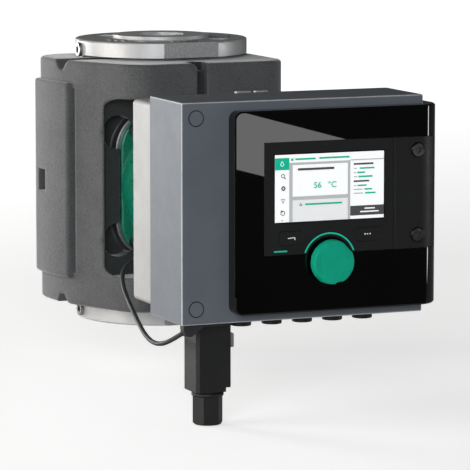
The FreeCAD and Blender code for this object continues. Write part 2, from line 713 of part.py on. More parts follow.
def electronics():
    """Two boards and a row of capacitors inside the module."""
    low = MODULE_LOW + MODULE_WALL + BOARD_MARGIN
    high = MODULE_TOP - MODULE_WALL - BOARD_MARGIN
    half = MODULE_X - CAP_INSET - 1.5 * CAP_R
    power_y = MODULE_BACK_Y - MODULE_WALL
    board_y = power_y - POWER_BOARD
    save("power_board", box((-half, half), (board_y, power_y), (low, high)))
    control_y = MODULE_FRONT_Y + MODULE_WALL + CONTROL_BOARD_BACK
    save("control_board", box((-half, half), (control_y - BOARD, control_y), (low, high)))
    end_y = board_y - CAPACITOR_LENGTH
    for index in range(CAPACITORS):
        x = index * CAPACITOR_PITCH - half / 2
        can = along_motor(CAPACITOR_R, end_y, board_y, x, MODULE_Z + CAPACITOR_LENGTH)
        save("capacitor_%d" % (index + 1), can.makeFillet(CAPACITOR_R / 10, edges_at(can, 1, end_y)))


# ---------------------------------------------------------------- front panel

def panel_block(inset):
    """The outside of the panel: flat at the left and turned round the module's right side."""
    x = (PANEL_LEFT + inset, PANEL_RIGHT - inset)
    y = (PANEL_Y + inset, MODULE_FRONT_Y + PANEL_WRAP_DEPTH)
    block = box(x, y, (PANEL_LOW, PANEL_TOP))
    corner = [e for e in edges_along(block, AXIS) if abs(e.BoundBox.XMax - x[1]) + abs(e.BoundBox.YMin - y[0]) < 0.1]
    return block.makeFillet(PANEL_CORNER - inset, corner)


def cover_block(gap):
    """The slot cover's space in the panel, grown by a gap."""
    skin = panel_block(0).cut(panel_block(SLOT_COVER_WALL + gap))
    return skin.common(box((SLOT_LEFT - gap, PANEL_RIGHT + 1),
                           (PANEL_Y - 1, MODULE_FRONT_Y + SLOT_COVER_BACK + gap),
                           (BAND_LOW - gap, BAND_TOP + gap)))


def slot_screw_places():
    x = SLOT_LEFT + SLOT_SCREW_INSET
    return (("top", x, BAND_TOP - SLOT_SCREW_FROM_END), ("bottom", x, BAND_LOW + SLOT_SCREW_FROM_END))


def key_places():
    return (("back_key", HMI_X - KNOB_R - KEY_OUT), ("menu_key", HMI_X + KNOB_R + KEY_OUT))


def display_space(border, start_y, end_y):
    """A block centred on the display, larger than its picture by a border."""
    half_w = DISPLAY_W / 2 + border
    half_h = DISPLAY_H / 2 + border
    return box((HMI_X - half_w, HMI_X + half_w), (start_y, end_y), (DISPLAY_Z - half_h, DISPLAY_Z + half_h))


def knob_rod(radius, start_y, end_y):
    return along_motor(radius, start_y, end_y, HMI_X, KNOB_Z)


def arc_sector(gap):
    """The light guide over the knob, grown by a gap."""
    outer = knob_rod(ARC_R + LIGHT_ARC_W / 2 + gap, BAND_FACE_Y, BAND_BACK_Y)
    arc = outer.cut(knob_rod(ARC_R - LIGHT_ARC_W / 2 - gap, BAND_FACE_Y, BAND_BACK_Y))
    reach = 2 * ARC_R
    spread = math.radians(LIGHT_ARC_HALF_ANGLE)
    wedge = prism([(HMI_X, BAND_FACE_Y, KNOB_Z),
                   (HMI_X - reach * math.sin(spread), BAND_FACE_Y, KNOB_Z + reach * math.cos(spread)),
                   (HMI_X, BAND_FACE_Y, KNOB_Z + 2 * reach),
                   (HMI_X + reach * math.sin(spread), BAND_FACE_Y, KNOB_Z + reach * math.cos(spread))],
                  (0, BAND, 0))
    return arc.common(wedge)


def led_block(gap):
    left = BAND_LEFT + LED_FROM_LEFT
    low = BAND_LOW + LED_FROM_LOW
    return box((left - gap, left + LED_W + gap), (BAND_FACE_Y, BAND_BACK_Y), (low - gap, low + LED_H + gap))


def key_block(x, gap, start_y, end_y):
    half_w = KEY_W / 2 + gap
    half_h = KEY_H / 2 + gap
    return rounded_block((x - half_w, x + half_w), (start_y, end_y), (KEY_Z - half_h, KEY_Z + half_h),
                         2.0 + gap, (0, 1, 0))


def front_panel():
    """The glossy front of the module, hollow behind the display."""
    block = panel_block(0)
    left = [e for e in edges_along(block, (0, 1, 0)) if e.BoundBox.XMax < PANEL_LEFT + 0.1]
    block = block.makeFillet(PANEL_LEFT_CORNER, left)
    block = block.makeChamfer(PANEL_EDGE, edges_at(block, 1, PANEL_Y))
    window_x, window_z = front_window()
    tools = [
        box((PANEL_LEFT - 1, MODULE_X + SEAM), (MODULE_FRONT_Y, 0), (0, FACE_TO_FACE)),
        box(window_x, (CAVITY_Y, MODULE_FRONT_Y), window_z),
        cover_block(SEAM),
        box((BAND_LEFT - SEAM, BAND_RIGHT + SEAM), (PANEL_Y - 1, BAND_BACK_Y),
            (BAND_LOW - SEAM, BAND_TOP + SEAM)),
        display_space(DISPLAY_BORDER + SEAM, PANEL_Y, CAVITY_Y),
        knob_rod(DISH_R, PANEL_Y - 1, PANEL_Y + DISH_DEPTH),
        knob_rod(KNOB_STEM_R + MOVING_GAP, PANEL_Y, CAVITY_Y),
    ]
    for _, x in key_places():
        tools.append(key_block(x, MOVING_GAP, PANEL_Y, CAVITY_Y))
    for _, x, z in slot_screw_places():
        tools.append(along_motor(SLOT_SCREW_SHANK_R, PANEL_Y, MODULE_FRONT_Y - SLOT_SCREW_SHANK_R, x, z))
    save("front_panel", cut(block, tools))


def display_band():
    """The matt insert that frames the display and the keys, cut round for the knob."""
    band = box((BAND_LEFT, BAND_RIGHT), (BAND_FACE_Y, BAND_BACK_Y), (BAND_LOW, BAND_TOP))
    tools = [display_space(DISPLAY_BORDER + SEAM, BAND_FACE_Y, BAND_BACK_Y), arc_sector(0), led_block(0)]
    tools.append(knob_rod(DISH_R, BAND_FACE_Y, BAND_BACK_Y))
    for _, x in key_places():
        tools.append(key_block(x, MOVING_GAP, BAND_FACE_Y, BAND_BACK_Y))
    save("display_band", cut(band, tools))
    save("light_arc", arc_sector(0))
    save("status_led", led_block(0))


def display():
    save("display_window", display_space(DISPLAY_BORDER, BAND_FACE_Y, CAVITY_Y))
    save("display_module", display_space(LCD_BORDER, CAVITY_Y, CAVITY_Y + LCD))


def slot_cover():
    """The cover of the plug-in module slot, with its two captive screws."""
    cover = cover_block(0)
    for name, x, z in slot_screw_places():
        front_y = PANEL_Y - SLOT_SCREW_PROUD
        seat_y = PANEL_Y + SLOT_SCREW_SEAT
        head = along_motor(SLOT_SCREW_R, front_y, seat_y, x, z)
        head = head.makeFillet(0.8 * SLOT_SCREW_PROUD, edges_at(head, 1, front_y))
        drive = along_motor(SLOT_SCREW_SHANK_R, front_y, PANEL_Y, x, z)
        shank = along_motor(SLOT_SCREW_SHANK_R, seat_y, MODULE_FRONT_Y - SLOT_SCREW_SHANK_R, x, z)
        save("slot_screw_" + name, fuse([head, shank]).cut(drive))
        cover = cut(cover, [along_motor(SLOT_SCREW_R + SEAM, front_y, seat_y, x, z),
                            along_motor(SLOT_SCREW_SHANK_R, PANEL_Y, PANEL_Y + SLOT_COVER_WALL, x, z)])
    save("slot_cover", cover)


def knob():
    """The fluted knob, its hollow stem, and the plunger that carries its press."""
    body = cone(KNOB_R, KNOB_R - KNOB_TAPER, (HMI_X, KNOB_BACK_Y, KNOB_Z), (HMI_X, KNOB_FACE_Y, KNOB_Z))
    body = body.makeFillet(KNOB_TAPER, edges_at(body, 1, KNOB_FACE_Y))
    flute = along_motor(KNOB_TAPER, KNOB_FACE_Y - 1, KNOB_BACK_Y + 1, HMI_X + KNOB_R + KNOB_TAPER / 2, KNOB_Z)
    flutes = round_about(flute, KNOB_FLUTES, (HMI_X, 0, KNOB_Z), (0, 1, 0))
    bore_y = KNOB_FACE_Y + KNOB_FACE_WALL
    stem = knob_rod(KNOB_STEM_R, KNOB_BACK_Y, STEM_END_Y)
    bore = knob_rod(PLUNGER_R + RUNNING_CLEARANCE, bore_y, STEM_END_Y)
    save("knob", body.cut(fuse(flutes)).fuse(stem).removeSplitter().cut(bore))
    foot_end = HMI_BOARD_Y - 2 * KNOB_TRAVEL
    plunger = knob_rod(PLUNGER_R, bore_y, foot_end)
    foot = knob_rod(2 * PLUNGER_R, STEM_END_Y + MOVING_GAP, foot_end)
    save("encoder_plunger", fuse([plunger, foot]))
    half = ENCODER / 2
    case = box((HMI_X - half, HMI_X + half), (CAVITY_Y, HMI_BOARD_Y), (KNOB_Z - half, KNOB_Z + half))
    room = knob_rod(2 * PLUNGER_R + MOVING_GAP, CAVITY_Y + 1, HMI_BOARD_Y)
    save("encoder_body", cut(case, [knob_rod(KNOB_STEM_R + MOVING_GAP, CAVITY_Y, HMI_BOARD_Y), room]))


def keys():
    """Two keys, and the board behind the panel that carries their switches."""
    board_x = (BAND_LEFT + HMI_BOARD_MARGIN, BAND_RIGHT - HMI_BOARD_MARGIN)
    board = [box(board_x, (HMI_BOARD_Y, HMI_BOARD_Y + BOARD), (PANEL_LOW + PANEL_FRAME + SEAM, BAND_TOP))]
    half = SWITCH / 2
    for name, x in key_places():
        pad = key_block(x, 0, BAND_FACE_Y - KEY_PROUD, CAVITY_Y)
        stem = along_motor(KEY_STEM_R, CAVITY_Y, STEM_END_Y, x, KEY_Z)
        save(name, fuse([pad, stem]))
        switch_y = STEM_END_Y + KEY_TRAVEL + MOVING_GAP
        board.append(box((x - half, x + half), (switch_y, HMI_BOARD_Y), (KEY_Z - half, KEY_Z + half)))
    save("hmi_board", fuse(board))


# ---------------------------------------------------------------- underside of the module

def blank_plug_places():
    return [BLANK_PLUG_X + index * BLANK_PLUG_PITCH for index in range(BLANK_PLUGS)]


def blanking_plugs():
    """Screwed plugs in the unused cable entries."""
    y = MODULE_FRONT_Y + BLANK_PLUG_FROM_FRONT
    for index, x in enumerate(blank_plug_places()):
        low = MODULE_LOW - BLANK_PLUG_HEAD
        head = rod(BLANK_PLUG_R, (x, y, low), (x, y, MODULE_LOW))
        head = head.makeFillet(BLANK_SLOT / 2, edges_at(head, 2, low))
        thread = rod(BLANK_PLUG_R - 2, (x, y, MODULE_LOW), (x, y, MODULE_LOW + MODULE_WALL + 3))
        reach = BLANK_PLUG_R - 2
        slot = box((x - reach, x + reach), (y - BLANK_SLOT / 2, y + BLANK_SLOT / 2), (low, low + BLANK_SLOT))
        save("blanking_plug_%d" % (index + 1), fuse([head, thread]).cut(slot))


def plug_space(margin, low, high):
    """A block the size of the power plug's plan plus a margin."""
    half_w = PLUG_W / 2 + margin
    half_d = PLUG_D / 2 + margin
    return box((PLUG_X - half_w, PLUG_X + half_w), (PLUG_Y - half_d, PLUG_Y + half_d), (low, high))


def pin_places():
    return [(PLUG_X + PIN_PITCH * (index - 1), PLUG_Y) for index in range(SOCKET_PINS)]


def power_socket():
    """The fixed inlet under the module, with its contact pins."""
    frame = plug_space(SOCKET_LIP, SOCKET_LOW, MODULE_LOW)
    frame = frame.makeFillet(2.0, edges_along(frame, AXIS))
    pins = [rod(PIN_R, (x, y, SOCKET_LOW - PIN_LENGTH), (x, y, MODULE_LOW)) for x, y in pin_places()]
    save("power_socket", fuse([frame] + pins))


def power_plug():
    """The plug's body with its wiring space, the cable gland and the latch."""
    low = PLUG_LOW
    high = SOCKET_LOW - MOVING_GAP
    body = plug_space(0, low, high)
    front_left = [e for e in edges_along(body, AXIS)
                  if e.BoundBox.XMax < PLUG_X and e.BoundBox.YMax < PLUG_Y]
    body = body.makeChamfer(PLUG_CHAMFER, front_left)
    right = PLUG_X + PLUG_W / 2
    front = PLUG_Y - PLUG_D / 2
    step = box((right - PLUG_STEP_W, right), (front, front + PLUG_D), (low, low + PLUG_STEP_H))
    wiring = rod(PLUG_D / 2 - PLUG_WALL, (PLUG_X, PLUG_Y, low), (PLUG_X, PLUG_Y, high - PLUG_D / 2))
    hole_low = SOCKET_LOW - PIN_LENGTH - 1
    holes = [rod(PIN_R + MOVING_GAP, (x, y, hole_low), (x, y, high)) for x, y in pin_places()]
    latch_y = front + LATCH_FROM_FRONT
    latch_z = high - LATCH_DROP
    pocket = box((right - LATCH_IN, right), (latch_y - MOVING_GAP, latch_y + LATCH_W + MOVING_GAP),
                 (latch_z - LATCH_H - MOVING_GAP, latch_z + MOVING_GAP))
    save("plug_body", cut(body, [step, wiring, pocket] + holes))
    tab = box((right - LATCH_IN + MOVING_GAP, right + LATCH_OUT), (latch_y, latch_y + LATCH_W),
              (latch_z - LATCH_H, latch_z))
    save("plug_latch", tab.makeFillet(LATCH_IN / 2, edges_along(tab, (0, 1, 0))))


def cable_gland():
    """The collar, the hexagonal nut and the seal that grip the mains cable."""
    x = PLUG_X
    y = PLUG_Y
    seal_r = GLAND_BORE_R + GLAND_SEAL_WALL
    thread_r = GLAND_NUT_R - GLAND_THREAD_WALL
    thread_low = COLLAR_LOW - GLAND_NUT / 2
    neck_low = PLUG_LOW - COLLAR_NECK
    collar = rod(COLLAR_R, (x, y, COLLAR_LOW), (x, y, neck_low))
    collar = collar.makeFillet(COLLAR_NECK, edges_at(collar, 2, neck_low) + edges_at(collar, 2, COLLAR_LOW))
    neck = rod(GLAND_NUT_R - COLLAR_NECK, (x, y, neck_low - COLLAR_NECK), (x, y, PLUG_LOW))
    thread = rod(thread_r, (x, y, thread_low), (x, y, COLLAR_LOW))
    save("gland_collar", fuse([collar, neck, thread]).cut(rod(seal_r, (x, y, thread_low), (x, y, PLUG_LOW))))
    corners = []
    for index in range(6):
        angle = math.radians(60 * index + GLAND_NUT_TURN)
        corners.append((x + GLAND_NUT_R * math.cos(angle), y + GLAND_NUT_R * math.sin(angle), NUT_LOW))
    nut = prism(corners, (0, 0, GLAND_NUT))
    rounding = cone(GLAND_NUT_R - GLAND_NUT_CHAMFER, GLAND_NUT_R + GLAND_NUT, (x, y, NUT_LOW),
                    (x, y, COLLAR_LOW + GLAND_NUT_CHAMFER))
    room = rod(thread_r + RUNNING_CLEARANCE, (x, y, thread_low), (x, y, COLLAR_LOW))
    seal_low = thread_low - GLAND_THREAD_WALL
    grip = rod(seal_r, (x, y, seal_low), (x, y, thread_low))
    way = rod(GLAND_BORE_R, (x, y, NUT_LOW), (x, y, seal_low))
    save("gland_nut", cut(nut.common(rounding), [room, grip, way]))
    seal = rod(seal_r, (x, y, seal_low), (x, y, neck_low))
    save("gland_seal", seal.cut(rod(GLAND_BORE_R, (x, y, seal_low), (x, y, neck_low))))


# ---------------------------------------------------------------- sensor lead

LEAD = [(-38, -71, 68), (-40, -83, 68.5), (-50, -93, 69), (-63, -98.5, 67), (-74, -106, 62.5),
        (-82.5, -119, 57), (-88.5, -137, 50.5), (-93.5, -160, 43.5), (-98, -185, 36.5),
        (-102.5, -211, 29.5), (-106.5, -236, 24), (-109, -259, 21.8), (-108.5, -277, 23.5),
        (-104.5, -289, 28.5), (-98.5, -296, 34.5)]


CONNECTOR = [(-101.0, 38.5), (-99.0, 33.0), (-94.5, 32.2), (-82.5, 40.6), (-82.5, MODULE_LOW)]
CONNECTOR_Y = (-304.5, -296.9)


def lead_path(points):
    """Straight runs joined by tangent arcs, each as large as its two runs allow."""
    pieces = []
    start = vector(points[0])
    for before, here, after in zip(points, points[1:], points[2:]):
        corner = vector(here)
        back = vector(before) - corner
        ahead = vector(after) - corner
        shorter = min(back.Length, ahead.Length)
        turn = math.pi - back.getAngle(ahead)
        trim = 0.45 * shorter
        radius = trim / math.tan(turn / 2)
        print("lead bend radius", round(radius, 1), "turn", round(math.degrees(turn), 1))
        arc_start = corner + back.normalize() * trim
        arc_end = corner + ahead.normalize() * trim
        inward = (back + ahead).normalize()
        middle = corner + inward * (radius / math.cos(turn / 2) - radius)
        pieces.append(Part.LineSegment(start, arc_start).toShape())
        pieces.append(Part.Arc(arc_start, middle, arc_end).toShape())
        start = arc_end
    pieces.append(Part.LineSegment(start, vector(points[-1])).toShape())
    return Part.Wire(pieces)


def sensor_lead():
    """The temperature sensor's lead, from its grommet by the motor to its connector."""
    path = lead_path(LEAD)
    first = vector(LEAD[0])
    section = Part.Wire(Part.makeCircle(CABLE_R, first, vector(LEAD[1]) - first))
    tube = path.makePipeShell([section], True, False)
    print("lead length", round(path.Length, 1), "volume ratio",
          round(tube.Volume / (path.Length * math.pi * CABLE_R ** 2), 4))
    save("sensor_lead", tube)
    x, y, z = LEAD[0]
    toward = (first - vector(LEAD[1])).normalize()
    grommet = cone(SENSOR_R, CABLE_R + GRIP_WALL, (x, BASE_FRONT_Y, z), (x, y, z))
    grip = rod(CABLE_R + GRIP_WALL, (x, y, z), tuple(first + toward * GRIP_LENGTH))
    save("sensor_grommet", fuse([grommet, grip]).cut(tube))
    end = vector(LEAD[-1])
    onward = (end - vector(LEAD[-2])).normalize()
    sleeve = cone(CABLE_R + GRIP_WALL, SENSOR_R - GRIP_WALL, tuple(end), tuple(end + onward * GRIP_LENGTH))
    corners = [(x, CONNECTOR_Y[0], z) for x, z in CONNECTOR]
    corners.append((CONNECTOR[0][0], CONNECTOR_Y[0], MODULE_LOW))
    wedge = prism(corners, (0, CONNECTOR_Y[1] - CONNECTOR_Y[0], 0))
    above = box((-2 * MODULE_X, 0), (2 * PANEL_Y, 0), (MODULE_LOW, FACE_TO_FACE))
    save("sensor_connector", fuse([sleeve, wedge]).cut(tube).cut(above))


# ---------------------------------------------------------------- insulation shell

def shell_outline(grow):
    """The plan of the shell: a slanted left flank, a flat front and rounded corners."""
    left = -SHELL_LEFT - grow
    front = -SHELL_FRONT
    corners = [(left, SHELL_BACK), (left, -SHELL_FLANK_START), (SHELL_FLANK_IN - SHELL_LEFT - grow, front),
               (SHELL_RIGHT, front), (SHELL_RIGHT, SHELL_BACK)]
    return [(x, y, SHELL_LOW) for x, y in corners]


def shell_plan(grow):
    """The shell's full height over its rounded plan."""
    block = prism(shell_outline(grow), (0, 0, SHELL_TOP - SHELL_LOW))
    for radius, (x, y, _) in zip(SHELL_CORNERS, shell_outline(grow)):
        edge = [e for e in edges_along(block, AXIS)
                if abs(e.BoundBox.Center.x - x) < 0.1 and abs(e.BoundBox.Center.y - y) < 0.1]
        block = block.makeFillet(radius, edge)
    return block


def shell_block():
    block = shell_plan(0)
    rims = edges_at(block, 2, SHELL_TOP) + edges_at(block, 2, SHELL_LOW)
    return block.makeFillet(SHELL_EDGE, rims)


def side_pad():
    """The raised field on the left flank, with the groove in front of it."""
    field = box((-SHELL_LEFT - SIDE_PAD, -SHELL_LEFT / 2), (SIDE_PAD_FRONT, SIDE_PAD_BACK),
                (MID_Z + SIDE_PAD_Z[0], MID_Z + SIDE_PAD_Z[1]))
    pad = shell_plan(SIDE_PAD).common(field)
    outer = [e for e in pad.Edges if e.BoundBox.XMax < -0.85 * SHELL_LEFT]
    return pad.makeFillet(SIDE_PAD_EDGE, outer)


def shell_tools():
    """What is moulded out of the shell: the pump's space, the recess, pockets and channels."""
    recess = rounded_block((-RECESS_HALF, RECESS_HALF), (-2 * SHELL_FRONT, -RECESS_FLOOR),
                           (MID_Z - RECESS_HALF, MID_Z + RECESS_HALF), RECESS_CORNER, (0, 1, 0))
    seat = motor_plate(MOTOR_FLANGE_HALF + SHELL_GAP, MOTOR_FLANGE_CORNER,
                       FLANGE_FRONT_Y - SHELL_GAP, MOUNT_Y + 1)
    window = motor_plate(MOTOR_FLANGE_HALF - MOTOR_FLANGE_LEDGE + SHELL_GAP,
                         MOTOR_FLANGE_CORNER - HOUSING_BASE + SHELL_GAP, -SHELL_FRONT, MOUNT_Y)
    tools = [casing_body(SHELL_GAP), recess, seat, window]
    for x in (-SCREW_POCKET_X, SCREW_POCKET_X):
        for z in (MID_Z - SCREW_POCKET_Z, MID_Z + SCREW_POCKET_Z):
            tools.append(along_motor(SCREW_POCKET_R, -RECESS_FLOOR - 1, MOUNT_Y + 1, x, z))
    slot_back = SEAM_SLOT_DEPTH - SHELL_FRONT
    tools.append(box(SEAM_SLOT, (-2 * SHELL_FRONT, slot_back), (0, FACE_TO_FACE)))
    corner_x = SEAM_SLOT[0] - SEAM_CORNER
    corner_z = SHELL_TOP - SEAM_CORNER
    corner = box((corner_x, SEAM_SLOT[0] + 1), (-2 * SHELL_FRONT, slot_back), (corner_z, FACE_TO_FACE))
    tools.append(corner.cut(along_motor(SEAM_CORNER, -2 * SHELL_FRONT, slot_back, corner_x, corner_z)))
    far = -2 * SHELL_LEFT
    floor_z = SHELL_TOP - CHANNEL_DEPTH
    channel = prism([(far, CHANNEL_TOP[1], SHELL_TOP + 1), (far, CHANNEL_TOP[0], SHELL_TOP + 1),
                     (far, CHANNEL_FLOOR[0], floor_z), (far, CHANNEL_FLOOR[1], floor_z)],
                    (2 * SHELL_LEFT - NECK_R, 0, 0))
    tools.append(channel)
    tools.append(flipped(channel))
    tools.append(rounded_block((far, SIDE_GROOVE_DEPTH - SHELL_LEFT),
                               (SIDE_PAD_FRONT - SIDE_GROOVE, SIDE_PAD_FRONT),
                               (MID_Z + SIDE_PAD_Z[0] + SIDE_GROOVE_END,
                                MID_Z + SIDE_PAD_Z[1] - SIDE_GROOVE_END),
                               0.49 * SIDE_GROOVE, (1, 0, 0)))
    tools.append(box((far, SIDE_SLOT_DEPTH - SHELL_LEFT), SIDE_SLOT_Y,
                     (MID_Z + SIDE_SLOT_Z[0], MID_Z + SIDE_SLOT_Z[1])))
    return tools


def insulation_shell():
    """Two moulded halves that meet in the plane of the pipe and the motor."""
    block = shell_block().fuse(side_pad())
    body = cut(block, shell_tools())
    reach = 2 * SHELL_LEFT
    left = body.common(box((-reach, -SEAM / 2), (-reach, reach), (0, FACE_TO_FACE)))
    right = body.common(box((SEAM / 2, reach), (-reach, reach), (0, FACE_TO_FACE)))
    tongue_y = SEAM_SLOT_DEPTH - SHELL_FRONT
    tongue = box((SEAM / 2, SEAM_TONGUE), (SEAM_TONGUE_BACK - SHELL_FRONT, tongue_y),
                 (MID_Z + RECESS_HALF, SHELL_TOP - SEAM_TONGUE_DROP))
    save("shell_left", left)
    save("shell_right", right.fuse(tongue).removeSplitter())


pump_housing()
pressure_plugs()
bearing_plate()
separating_can()
stator()
motor_flange()
motor_housing()
motor_screws()
impeller()
rotor()
module_adapter()
module_housing()
electronics()
front_panel()
display_band()
display()
slot_cover()
knob()
keys()
blanking_plugs()
power_socket()
power_plug()
cable_gland()
sensor_lead()
insulation_shell()
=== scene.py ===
"""Looks of the circulator pump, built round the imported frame, in metres.

The pipe runs up +Z from the lower flange, the motor axis runs out along -Y to the display, and
the power connector is at -X.
"""
import json
import math

import bmesh
import bpy
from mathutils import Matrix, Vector


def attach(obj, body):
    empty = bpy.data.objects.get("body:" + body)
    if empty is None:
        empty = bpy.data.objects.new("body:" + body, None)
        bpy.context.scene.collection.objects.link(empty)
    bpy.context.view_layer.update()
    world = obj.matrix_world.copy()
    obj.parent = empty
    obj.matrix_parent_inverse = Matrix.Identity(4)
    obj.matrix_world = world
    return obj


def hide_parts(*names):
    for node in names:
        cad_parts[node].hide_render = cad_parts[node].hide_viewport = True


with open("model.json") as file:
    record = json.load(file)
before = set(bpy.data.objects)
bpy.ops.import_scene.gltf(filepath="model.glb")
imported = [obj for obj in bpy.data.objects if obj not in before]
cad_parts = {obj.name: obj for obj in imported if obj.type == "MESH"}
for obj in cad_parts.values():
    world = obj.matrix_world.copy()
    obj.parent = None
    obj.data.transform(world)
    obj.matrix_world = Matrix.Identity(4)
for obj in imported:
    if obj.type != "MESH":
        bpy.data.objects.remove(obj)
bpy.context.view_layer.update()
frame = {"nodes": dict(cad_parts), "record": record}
NODES = frame["nodes"]
MM = 0.001
AXIS_Z = 0.125                  # height of the motor axis


# ---------------------------------------------------------------- camera

def place_camera():
    bpy.ops.object.camera_add(location=(-1.07784, -2.74579, 0.45746))
    camera = bpy.context.object
    camera.name = "studio_camera"
    toward = Vector((0.07027, 0.0, 0.06880)) - camera.location
    camera.rotation_euler = toward.to_track_quat("-Z", "Y").to_euler()
    camera.data.sensor_width = 36.0
    camera.data.lens = 258.3
    camera.data.clip_start = 0.1
    camera.data.clip_end = 60.0
    bpy.context.scene.camera = camera


# ---------------------------------------------------------------- modelling helpers

def deselect():
    if bpy.context.object and bpy.context.object.mode != "OBJECT":
        bpy.ops.object.mode_set(mode="OBJECT")
    bpy.ops.object.select_all(action="DESELECT")


def choose(piece):
    """Makes a piece the only selected one."""
    deselect()
    piece.select_set(True)
    bpy.context.view_layer.objects.active = piece


def settle(piece):
    """Moves the piece's place, turn and size into its mesh."""
    choose(piece)
    bpy.ops.object.transform_apply(location=True, rotation=True, scale=True)
    return piece


def finish_piece(piece, name, material, smooth=None):
    settle(piece)
    piece.name = name
    piece.data.name = name
    piece.data.materials.clear()
    piece.data.materials.append(material)
    if smooth is not None:
        bpy.ops.object.shade_smooth_by_angle(angle=math.radians(smooth))
    return piece


def add_block(x, y, z):
    """A block between its lowest and highest x, y and z, in millimetres."""
    deselect()
    middle = [(pair[0] + pair[1]) / 2 * MM for pair in (x, y, z)]
    size = [(pair[1] - pair[0]) * MM for pair in (x, y, z)]
    bpy.ops.mesh.primitive_cube_add(size=1, location=middle)
    piece = bpy.context.object
    piece.scale = size
    return settle(piece)


def add_rod(radius, start, end, sides=32):
    """A round bar between two points, in millimetres."""
    deselect()
    line = Vector(end) - Vector(start)
    middle = (Vector(start) + Vector(end)) / 2 * MM
    turn = Vector((0, 0, 1)).rotation_difference(line.normalized()).to_euler()
    bpy.ops.mesh.primitive_cylinder_add(vertices=sides, radius=radius * MM, depth=line.length * MM,
                                        location=middle, rotation=turn)
    return settle(bpy.context.object)


def add_hoop(radius, thick, centre, around):
    """A round wire bent to a circle that faces the front, in millimetres."""
    deselect()
    turn = Vector((0, 0, 1)).rotation_difference(Vector((0, 1, 0))).to_euler()
    bpy.ops.mesh.primitive_torus_add(location=Vector(centre) * MM, rotation=turn,
                                     major_radius=radius * MM, minor_radius=thick * MM,
                                     major_segments=around, minor_segments=6)
    return settle(bpy.context.object)


def soften(piece, width):
    """Bevels the piece's sharp edges, with a width in millimetres."""
    choose(piece)
    bevel = piece.modifiers.new("edge", "BEVEL")
    bevel.width = width * MM
    bevel.segments = 2
    bevel.limit_method = "ANGLE"
    bevel.angle_limit = math.radians(35)
    bpy.ops.object.modifier_apply(modifier=bevel.name)
    return piece


def pick(piece, wanted):
    """Opens the piece in edit mode with the faces that a rule picks by centre, in mm, and normal."""
    choose(piece)
    bpy.ops.object.mode_set(mode="EDIT")
    bpy.ops.mesh.select_mode(type="FACE")
    bpy.ops.mesh.select_all(action="DESELECT")
    mesh = bmesh.from_edit_mesh(piece.data)
    for face in mesh.faces:
        if wanted(face.calc_center_median() / MM, face.normal):
            face.select_set(True)
    bmesh.update_edit_mesh(piece.data)


def cut_away(piece, point, normal):
    """Cuts the piece on a plane and closes it; what lies on the normal's side goes."""
    choose(piece)
    bpy.ops.object.mode_set(mode="EDIT")
    bpy.ops.mesh.select_all(action="SELECT")
    bpy.ops.mesh.bisect(plane_co=Vector(point) * MM, plane_no=normal, use_fill=True, clear_outer=True)
    bpy.ops.object.mode_set(mode="OBJECT")
    return piece


def join(pieces):
    """Makes one object of several."""
    deselect()
    for piece in pieces:
        piece.select_set(True)
    bpy.context.view_layer.objects.active = pieces[0]
    if len(pieces) > 1:
        bpy.ops.object.join()
    return bpy.context.object


# ---------------------------------------------------------------- materials

def tone(red, green, blue):
    """A colour from its 0 to 255 display values."""
    linear = []
    for value in (red, green, blue):
        share = value / 255
        linear.append(share / 12.92 if share <= 0.04045 else ((share + 0.055) / 1.055) ** 2.4)
    return (*linear, 1.0)


